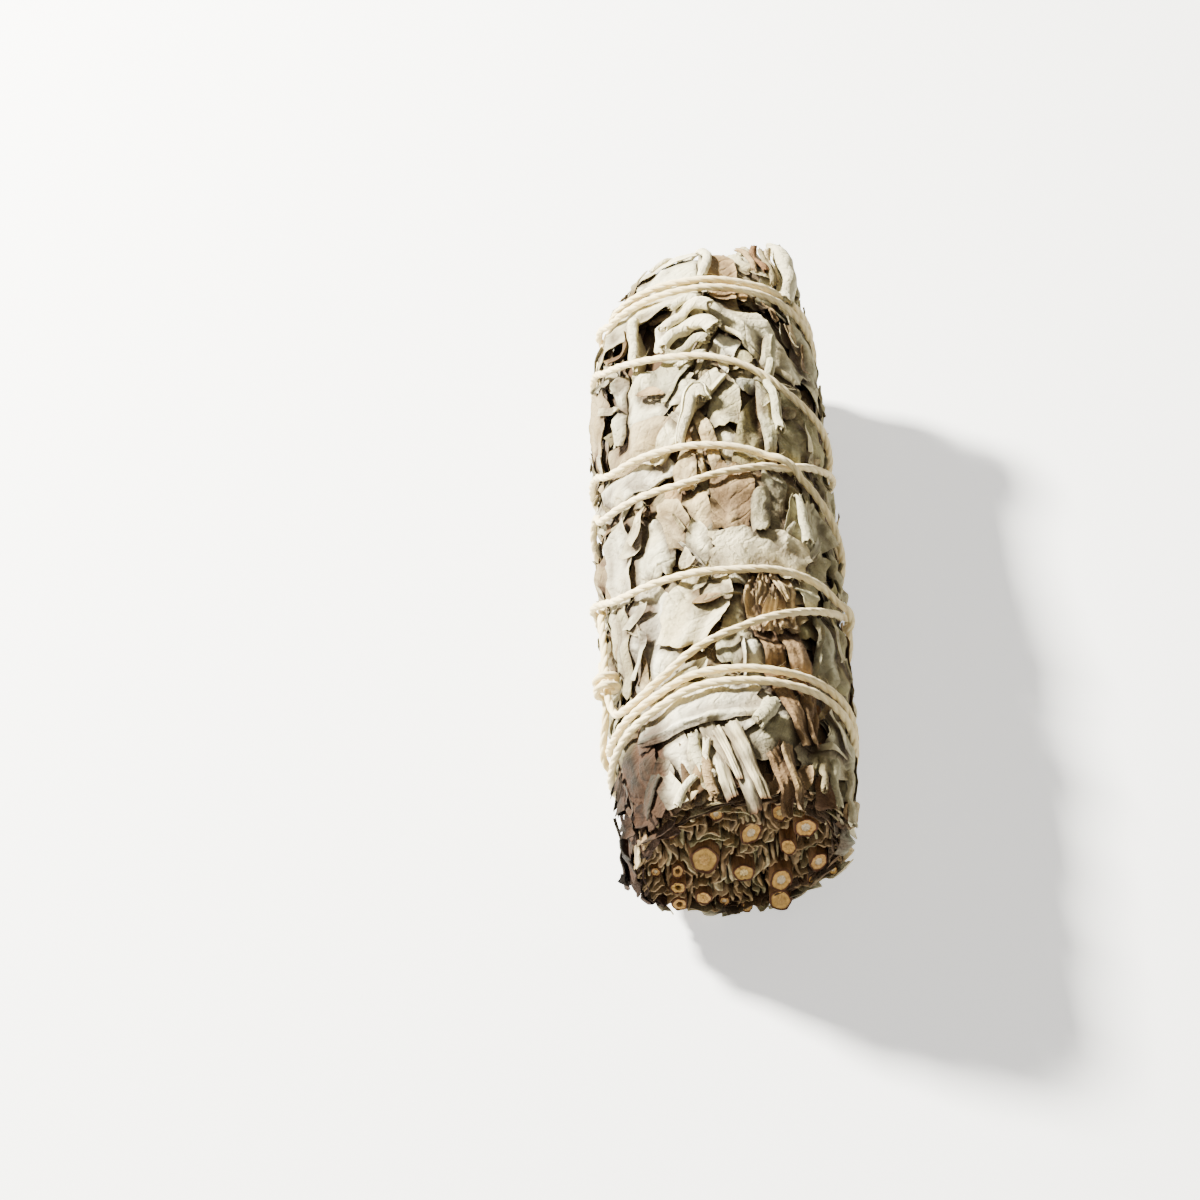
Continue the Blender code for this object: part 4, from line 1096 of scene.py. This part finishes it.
def end_leaves(rng):
    """Leaves that reach both ends, all the way round, so that the stack's rims are full there."""
    made = []
    for n in range(44):
        around = (360 * n * END_STEP) % 360 - 180
        length = rng.uniform(11, 17)
        tone = ("dim", "tan", "olive", "brown", "grey")[n % 5]
        along = rng.uniform(-2.6, 1.0) + length / 2
        made.append(Leaf(along, around, length, rng.uniform(6, 9), rng.normal(0, 6), "torn", tone))
    for n in range(34):
        around = (360 * n * END_STEP) % 360 - 180
        length = rng.uniform(11, 17)
        tone = ("pale", "tan", "grey", "olive", "pale")[n % 5]
        along = 108.5 - length / 2
        made.append(Leaf(along, around, length, rng.uniform(6, 9), rng.normal(0, 9), "tip", tone))
    return made


def strips(places, shape, tone):
    return [Leaf(*place, shape, tone) for place in places]


def rim_flakes(rng):
    """Small crumpled bits over the upper rim of the cut end."""
    made = []
    for n in range(RIM_FLAKES):
        around = -78 + 156 * ((n * ALONG_STEP) % 1)
        size = (rng.uniform(3, 6.5), rng.uniform(1.4, 3.4))
        shape = ("lance", "tip", "strip")[n % 3]
        tone = ("tan", "brown", "pale", "dim", "dark", "grey", "brown")[n % 7]
        made.append(Leaf(rng.uniform(0.2, 3.4), around, *size, rng.normal(0, 45), shape, tone))
    return made


def make_leaves(stack, twine):
    """All the leaves: first laid from the inside out, then pressed, then made into shells."""
    groups = {"leaves_inner": [], "leaves_middle": [], "leaves_outer": [], "leaves_front": []}
    loose = {}
    for leaf in end_leaves(RNG) + random_leaves(RNG, DEEP_LEAVES, ("torn", "lance", "torn"), DEEP_TONES):
        groups["leaves_inner"].append(leaf_sheet(stack, leaf, RNG, False, 0.5))
    for leaf in random_leaves(RNG, MIDDLE_LEAVES, ("torn", "lance", "tip", "torn"), OUTER_TONES):
        groups["leaves_middle"].append(leaf_sheet(stack, leaf, RNG, False, 0.7))
    for leaf in random_leaves(RNG, OUTER_LEAVES, OUTER_SHAPES, OUTER_TONES, "back"):
        groups["leaves_outer"].append(leaf_sheet(stack, leaf, RNG, True))
    for leaf in random_leaves(RNG, FRONT_FILL, OUTER_SHAPES, OUTER_TONES, "front"):
        groups["leaves_middle"].append(leaf_sheet(stack, leaf, RNG, True))
    for leaf in FRONT_LEAVES + rim_flakes(RNG) + random_leaves(RNG, FLAKES, FLAKE_SHAPES, FLAKE_TONES):
        groups["leaves_front"].append(leaf_sheet(stack, leaf, RNG, True))
    for name, leaf in BROWN_LEAVES.items():
        loose[name] = leaf_sheet(stack, leaf, RNG, True)
    twig = strips(TWIG_STEMS, "rod", "stem") + strips(CALYX, "pleat", "twig")
    calyx = [leaf_sheet(stack, leaf, RNG, True) for leaf in twig]
    fork = [leaf_sheet(stack, leaf, RNG, True) for leaf in strips(FORK, "rod", "stalk")]
    for leaf in LAST_LEAVES:
        groups["leaves_front"].append(leaf_sheet(stack, leaf, RNG, True, 0.6))
    stack.settle(twine)
    finish = leaf_material("dried_leaf_finish")
    for name, sheets in groups.items():
        mesh = Mesh()
        for sheet in sheets:
            sheet_shell(stack, sheet, mesh, RNG)
        ride(mesh.make(name, finish), "dried_leaf", "leaf_bundle")
    brown = leaf_material("brown_leaf_finish", 1.6)
    for name, sheet in loose.items():
        mesh = Mesh()
        sheet_shell(stack, sheet, mesh, RNG)
        ride(mesh.make("veined_" + name, brown), "brown_leaf", name)
    for name, sheets, node, slot, look in (
            ("dried_calyx", calyx, "flower_twig", "brown_leaf", leaf_material),
            ("pale_leaf_stalks", fork, "leaf_stalk_fork", "leaf_stalk", wood_material)):
        mesh = Mesh()
        for sheet in sheets:
            sheet_shell(stack, sheet, mesh, RNG)
        ride(mesh.make(name, look(name + "_finish")), slot, node)
    mesh = Mesh()
    for route, radii, turns, tone in SCROLLS:
        scroll(mesh, stack, route, radii, turns, tone, RNG)
    ride(mesh.make("rolled_leaves", finish), "dried_leaf", "leaf_bundle")


def make_core():
    """The packed middle, seen only deep between the leaves, coloured very dark as painted shade."""
    mesh = Mesh()
    along = np.linspace(4, LENGTH - 3.5, 60)
    angle = np.linspace(0, math.tau, 72, endpoint=False)
    s, t = np.meshgrid(along, angle, indexing="ij")
    rise = -STACK_DEPTH - 0.1 + 0.15 * ripples(s, t * BELLY_RADIUS, RNG, 9, 4)
    rings = on_bundle(t * BELLY_RADIUS, s, rise)
    points = np.concatenate([rings.reshape(-1, 3), [[0, along[0] - LENGTH / 2, AXIS_HEIGHT]],
                             [[0, along[-1] - LENGTH / 2, AXIS_HEIGHT]]])
    quads, near, far = ring_faces(len(along), len(angle))
    # Painted shade: the core is coloured a very dark brown
    mesh.add(points, np.concatenate([quads, near[:, ::-1], far[:, ::-1]]), linear(TONES["dark"]) * 0.6)
    ride(mesh.make("packed_core", leaf_material("packed_leaf_finish")), "dried_leaf", "leaf_bundle")


def scroll(mesh, stack, route, radii, turns, tone, rng):
    """A leaf rolled up along a route on the stack, its spiral open at both ends."""
    places = smooth_route([unrolled(place[1], place[0], *place[2:]) for place in route], 0.5)
    arc, along, rise = places.T
    share = np.linspace(0, 1, len(places))
    radius = radii[0] + (radii[1] - radii[0]) * share
    floor = stack.highest(along, arc, 0.5)
    for _ in range(6):
        floor = np.convolve(np.pad(floor, 1, mode="edge"), (0.25, 0.5, 0.25), "valid")
    outward = on_bundle(arc, along, 1.0) - on_bundle(arc, along, 0.0)
    centre = stack.placed(along, arc, floor) + outward * (radius * SCROLL_SEAT + rise)[:, None]
    ahead = np.gradient(centre, axis=0)
    ahead /= np.linalg.norm(ahead, axis=1)[:, None]
    side = np.cross(ahead, outward)
    side /= np.linalg.norm(side, axis=1)[:, None]
    steps = int(SCROLL_COLUMNS * turns)
    angle = np.linspace(0, math.tau * turns, steps + 1)[None, :]
    grown = 0.3 + 0.7 * (angle / angle.max()) ** 0.8
    wobble = 1 + 0.1 * ripples(share[:, None] * 12, angle * 2, rng, 7, 3)
    reach = radius[:, None] * grown * wobble
    start = rng.uniform(0, math.tau)
    ragged = rng.uniform(-0.5, 0.5, (2, steps + 1))
    fade = share[:, None] * len(share) / 2
    ends = ragged[0] * np.exp(-fade) + ragged[1] * np.exp(fade - len(share) / 2)
    shells = []
    for thick in (SCROLL_THICK, -SCROLL_THICK):
        r = (reach + thick)[..., None]
        points = centre[:, None] + r * np.cos(angle + start)[..., None] * side[:, None]
        points = points + r * np.sin(angle + start)[..., None] * SCROLL_ROUND * outward[:, None]
        shells.append(points + ends[..., None] * ahead[:, None])
    base = linear(TONES[tone])
    # Painted shade: the inner turns of the roll darken towards the dark tone
    inner = (1 - 0.75 * (1 - grown) / 0.7) * np.ones_like(share)[:, None]
    tint = linear(TONES["dark"]) + (base - linear(TONES["dark"])) * inner[..., None]
    local = together(share[:, None] * 12, angle * 1.2, rng.uniform(0, 50))
    mesh.add_shell(shells, (tint, tint), local)


def flow(x, z, waves, stalks):
    """The direction in which the leaves run in an end: round the axis, swayed, and round each stalk."""
    angle = np.arctan2(z, x) + math.pi / 2
    for ax, az, phase, size in waves:
        angle = angle + size * math.sin(ax * x + az * z + phase)
    cosine, sine = math.cos(2 * angle), math.sin(2 * angle)
    for sx, sz, diameter in stalks:
        away = math.hypot(x - sx, z - sz) - diameter / 2
        if away < 3:
            weight = 3 * math.exp(-((max(away, 0) / 0.8) ** 2))
            round_it = math.atan2(z - sz, x - sx) + math.pi / 2
            cosine += weight * math.cos(2 * round_it)
            sine += weight * math.sin(2 * round_it)
    return math.atan2(sine, cosine) / 2


def edge_lines(rim, stalks, spacing, lengths, rng):
    """Lines across an end that keep apart from each other and from the stalks. rim gives the end's radius."""
    widest = float(rim(np.linspace(0, math.tau, 90)).max())
    size = int(2 * widest / EDGE_CELL) + 3
    axis = (np.arange(size) - size // 2) * EDGE_CELL
    gx, gz = np.meshgrid(axis, axis, indexing="ij")
    closed = np.hypot(gx, gz) > rim(np.arctan2(gx, gz))
    for sx, sz, diameter in stalks:
        closed |= np.hypot(gx - sx, gz - sz) < diameter / 2 + 0.22
    waves = [(*rng.normal(0, 0.42, 2), rng.uniform(0, math.tau), rng.uniform(0.3, 0.75)) for _ in range(5)]
    reach = int(spacing / EDGE_CELL) + 1
    stamp = np.hypot(*np.meshgrid(*[np.arange(-reach, reach + 1) * EDGE_CELL] * 2)) < spacing * 0.72
    lines = []

    def cell_at(x, z):
        return int(round(x / EDGE_CELL)) + size // 2, int(round(z / EDGE_CELL)) + size // 2

    def free(x, z):
        i, j = cell_at(x, z)
        return 0 <= i < size and 0 <= j < size and not closed[i, j]

    for _ in range(EDGE_TRIES):
        r, a = widest * math.sqrt(rng.uniform()), rng.uniform(0, math.tau)
        x, z = r * math.cos(a), r * math.sin(a)
        if not free(x, z):
            continue
        longest = rng.uniform(*lengths)
        line = [(x, z)]
        for way in (1, -1):
            px, pz = x, z
            heading = flow(px, pz, waves, stalks) + (math.pi if way < 0 else 0)
            for _ in range(int(longest / 2 / EDGE_STEP)):
                turn = flow(px, pz, waves, stalks)
                if math.cos(turn - heading) < 0:
                    turn += math.pi
                heading = turn
                px, pz = px + EDGE_STEP * math.cos(heading), pz + EDGE_STEP * math.sin(heading)
                if not free(px, pz):
                    break
                line.insert(0 if way < 0 else len(line), (px, pz))
        if len(line) < 5:
            continue
        for px, pz in line:
            i, j = cell_at(px, pz)
            i0, j0 = max(i - reach, 0), max(j - reach, 0)
            part = closed[i0:i + reach + 1, j0:j + reach + 1]
            si, sj = i0 - i + reach, j0 - j + reach
            part |= stamp[si:si + part.shape[0], sj:sj + part.shape[1]]
        lines.append(np.array(line))
    return lines


def leaf_edges(mesh, lines, settings, front, inward, rng):
    """Leaves that stand in an end, from their edge inwards. front gives where the end's plane is."""
    _, _, ragged, tones = settings
    depths = np.array(EDGE_DEPTHS)
    for line in lines:
        way = np.gradient(line, axis=0)
        way /= np.linalg.norm(way, axis=1)[:, None]
        normal = np.column_stack([way[:, 1], -way[:, 0]])
        run = EDGE_STEP * np.arange(len(line))
        jag = 0.45 * ripples(run, 0 * run, rng, 3.4, 4, 0.5) * ragged
        rise = rng.uniform(-0.2, 1.0) * ragged
        fan = rng.uniform(-0.5, 0.5) * ragged
        along = front(line[:, 0], line[:, 1]) + inward * (rise - jag + fan * np.linspace(-1, 1, len(line)))
        drift = rng.normal(0, 0.12, 2)
        sway = 0.22 * ripples(run, 0 * run, rng, 4, 3)
        swayed = (sway[None] * depths[:, None] / 3)[..., None]
        middle = line[None] - drift * depths[:, None, None] + normal[None] * swayed
        thick = EDGE_THICK * rng.uniform(0.7, 1.25) * (1 + 0.25 * ripples(run, 0 * run, rng, 3, 3))
        thick = np.minimum(thick * np.minimum(1, 0.4 + np.minimum(run, run[::-1]) / 0.8), 0.6)
        walls = []
        for side in (0.5, -0.5):
            slim = np.where(depths == 0, 0.55, 1.0)[:, None] * thick * side
            flat = middle + normal * slim[..., None]
            y = along + inward * depths[:, None] - LENGTH / 2
            walls.append(np.stack([flat[..., 0], y, flat[..., 1] + AXIS_HEIGHT], -1))
        tone = linear(TONES[tones[rng.integers(len(tones))]]) * rng.uniform(0.55, 0.95)
        # Painted shade: each leaf darkens from its edge inwards, deeper into the end
        shade = np.array(EDGE_SHADE)[:, None, None]
        tint = tone + (linear(TONES["dark"]) * 0.55 - tone) * shade
        tint = np.broadcast_to(tint, (*middle.shape[:2], 3))
        local = together(run[None], depths[:, None], rng.uniform(0, 50))
        mesh.add_shell(walls, (tint, tint), local, inward < 0)


def make_ends(rng):
    """The leaves in the cut end and in the tip, seen edge on."""
    stalks = [(x, z, diameter) for x, z, diameter, _ in STALKS]
    stubs = [(r * math.sin(math.radians(a)), r * math.cos(math.radians(a)), d) for a, r, d, _ in TIP_STUBS]
    finish = leaf_material("leaf_edge_finish", 0.5)
    for name, end, settings, posts, inward in (("cut_leaf_edges", CUT_END, CUT_EDGES, stalks, 1),
                                               ("tip_leaf_edges", TIP_END, TIP_EDGES, stubs, -1)):
        radius = float(radius_at(max(end[0], 0)))
        inset = CUT_INSET if inward > 0 else TIP_INSET

        def rim(angle, radius=radius, inset=inset, inward=inward):
            return radius + (FULL_RADIUS - radius) * fullness(angle) * (inward < 0) - inset

        def front(x, z, end=end, rim=rim, posts=posts, inward=inward):
            angle = np.arctan2(x, z)
            share = np.minimum(np.hypot(x, z) / rim(angle), 1)
            place = end_at(end, angle, share) + inward * (1.5 - 1.3 * share**4)
            for sx, sz, diameter in posts:
                away = np.hypot(x - sx, z - sz) - diameter / 2
                place = place + inward * 0.9 * np.exp(-((np.maximum(away, 0) / 0.9) ** 2))
            return place

        mesh = Mesh()
        lines = edge_lines(rim, posts, settings[0], settings[1], rng)
        leaf_edges(mesh, lines, settings, front, inward, rng)
        ride(mesh.make(name, finish), "dried_leaf", "leaf_bundle")


def cut_stalk(mesh, x, z, diameter, near, far, facing, kind, rng):
    """A woody stalk with its cut face: a rim of bark, the wood's ring, and its pith or hollow."""
    sides = 26 if diameter > 2 else 20
    shares = (1.0, 1.0, 1.0, 0.94, 0.82, 0.75, 0.58, 0.4, 0.34, 0.16)
    depth = {"hollow": 1.1, "star": 0.12, "pale": 0.16, "solid": 0.06}[kind]
    sunk = (far, 2.5, 0.25, 0.0, 0.04, 0.1, 0.08, 0.1, depth, depth)
    wood, pith = linear(TONES["wood"]), linear(TONES["pith"])
    bark = linear(TONES["bark"]) * rng.uniform(0.8, 1.15)
    dark = linear((70, 44, 28))
    # Painted shade: a hollow's floor is coloured dark, for the shade down the hollow
    middle = {"hollow": dark, "star": pith, "pale": linear((196, 178, 148)), "solid": wood * 1.12}[kind]
    ring = wood * rng.uniform(0.8, 1.1) * (1, rng.uniform(0.92, 1.0), rng.uniform(0.8, 1.0))
    tints = (bark, bark, bark, dark, dark * 1.3, ring, ring * 1.1, ring * 0.86, middle * 0.85, middle)
    angle = math.tau * np.arange(sides) / sides
    form = 1 + 0.09 * np.sin(2 * angle + rng.uniform(0, 6)) + 0.05 * np.sin(5 * angle + rng.uniform(0, 6))
    tilt = rng.normal(0, 0.12, 2) + (0, CUT_SLANT * (facing > 0))
    rings, colours, local = [], [], []
    for share, back, tint in zip(shares, sunk, tints):
        r = diameter / 2 * share * (1 + (form - 1) * share)
        rough = 0.05 * rng.normal(0, 1, sides) * (0 < share < 1)
        dx, dz = r * np.cos(angle), r * np.sin(angle)
        y = near + facing * (back + rough + (tilt[0] * dx + tilt[1] * dz) * (back < 2))
        rings.append(np.column_stack([x + dx, y, z + dz]))
        streak = 1 + 0.1 * np.sin(7 * angle + 3 * share) * (share < 0.9)
        streak = streak + 0.12 * rng.normal(0, 1, sides) * (share > 0.2)
        if kind == "star" and share < 0.7:
            streak = streak - 0.28 * (np.cos(6 * angle) > 0.55)
        colours.append(tint * np.clip(streak, 0.4, 1.5)[:, None])
        local.append(together(share * diameter / 2, angle, x + 2 * z))
    middles = [[x, near + facing * far, z], [x, near + facing * depth, z]]
    quads, back, face = ring_faces(len(shares), sides)
    if facing > 0:
        faces = np.concatenate([quads[:, ::-1], back, face])
    else:
        faces = np.concatenate([quads, back[:, ::-1], face[:, ::-1]])
    mesh.add(np.concatenate(rings + [middles]), faces, np.concatenate(colours + [[bark, middle]]),
             np.concatenate(local + [np.zeros((2, 3))]))


def make_stalks(rng):
    finish = wood_material("woody_stalk_finish")
    mesh = Mesh()
    for n, (x, z, diameter, reach) in enumerate(STALKS):
        kind = PITHS[n % len(PITHS)]
        face = reach + FACE_SHIFT + float(end_at(CUT_END, math.atan2(x, z), math.hypot(x, z) / BELLY_RADIUS))
        cut_stalk(mesh, x, z + AXIS_HEIGHT, diameter, face - LENGTH / 2, STALK_RUN, 1, kind, rng)
    names = [f"stalk_{n + 1:02d}" for n in range(len(STALKS))]
    ride(mesh.make("cut_stalks", finish), "woody_stalk", *names)
    mesh = Mesh()
    for around, out, diameter, end in TIP_STUBS:
        a = math.radians(around)
        place = (out * math.sin(a), out * math.cos(a) + AXIS_HEIGHT)
        cut_stalk(mesh, *place, diameter, end - LENGTH / 2, STALK_RUN, -1, "solid", rng)
    names = [f"tip_stalk_{n + 1}" for n in range(len(TIP_STUBS))]
    ride(mesh.make("tip_stubs", finish), "woody_stalk", *names)


# Camera, light and floor


def make_camera():
    tilt, yaw = math.radians(CAMERA_ELEVATION), math.radians(CAMERA_YAW)
    forward = np.array([math.sin(yaw) * math.cos(tilt), math.cos(yaw) * math.cos(tilt), -math.sin(tilt)])
    right = np.array([math.cos(yaw), -math.sin(yaw), 0])
    up = np.cross(right, forward)
    place = (np.array(CAMERA_TARGET) - CAMERA_DISTANCE * forward) * MM
    data = bpy.data.cameras.new("camera")
    data.lens = CAMERA_LENS
    data.sensor_width = 36
    data.clip_start = 0.01
    camera = bpy.data.objects.new("camera", data)
    roll = math.radians(CAMERA_ROLL)
    right, up = math.cos(roll) * right + math.sin(roll) * up, math.cos(roll) * up - math.sin(roll) * right
    turn = np.column_stack([right, up, -forward])
    camera.matrix_world = Matrix.Translation(place) @ Matrix(turn.tolist()).to_4x4()
    bpy.context.scene.collection.objects.link(camera)
    bpy.context.scene.camera = camera


def area_light(name, place, size, power, colour):
    data = bpy.data.lights.new(name, "AREA")
    data.size = size
    data.energy = power
    data.color = colour
    light = bpy.data.objects.new(name, data)
    way = np.array(place) - (0, 0, 0.015)
    light.matrix_world = Matrix.Translation(place) @ matrix_facing(way)
    bpy.context.scene.collection.objects.link(light)


def matrix_facing(back):
    """A turn whose own +Z points along back."""
    back = np.array(back, float) / np.linalg.norm(back)
    side = np.cross((0, 1, 0.01), back)
    side /= np.linalg.norm(side)
    return Matrix(np.column_stack([side, np.cross(back, side), back]).tolist()).to_4x4()


def make_studio():
    area_light("key", *KEY_LIGHT)
    area_light("fill", *FILL_LIGHT)
    world = bpy.data.worlds.new("world")
    world.use_nodes = True
    world.node_tree.nodes["Background"].inputs[0].default_value = (*SKY_COLOUR, 1)
    world.node_tree.nodes["Background"].inputs[1].default_value = SKY_STRENGTH
    bpy.context.scene.world = world
    mesh = bpy.data.meshes.new("floor")
    corners = [(x * FLOOR_HALF, y * FLOOR_HALF, 0) for x, y in ((-1, -1), (1, -1), (1, 1), (-1, 1))]
    mesh.from_pydata(corners, [], [(0, 1, 2, 3)])
    mesh.materials.append(plain_material("floor_finish", FLOOR_COLOUR, 0.9, FLOOR_GLOW))
    floor = bpy.data.objects.new("floor", mesh)
    bpy.context.scene.collection.objects.link(floor)


make_camera()
strand = twine_places()
make_leaves(Stack(), strand)
make_core()
make_ends(np.random.default_rng(SEED + 2))
make_stalks(np.random.default_rng(SEED + 3))
make_twine(strand, np.random.default_rng(SEED + 1))
make_studio()
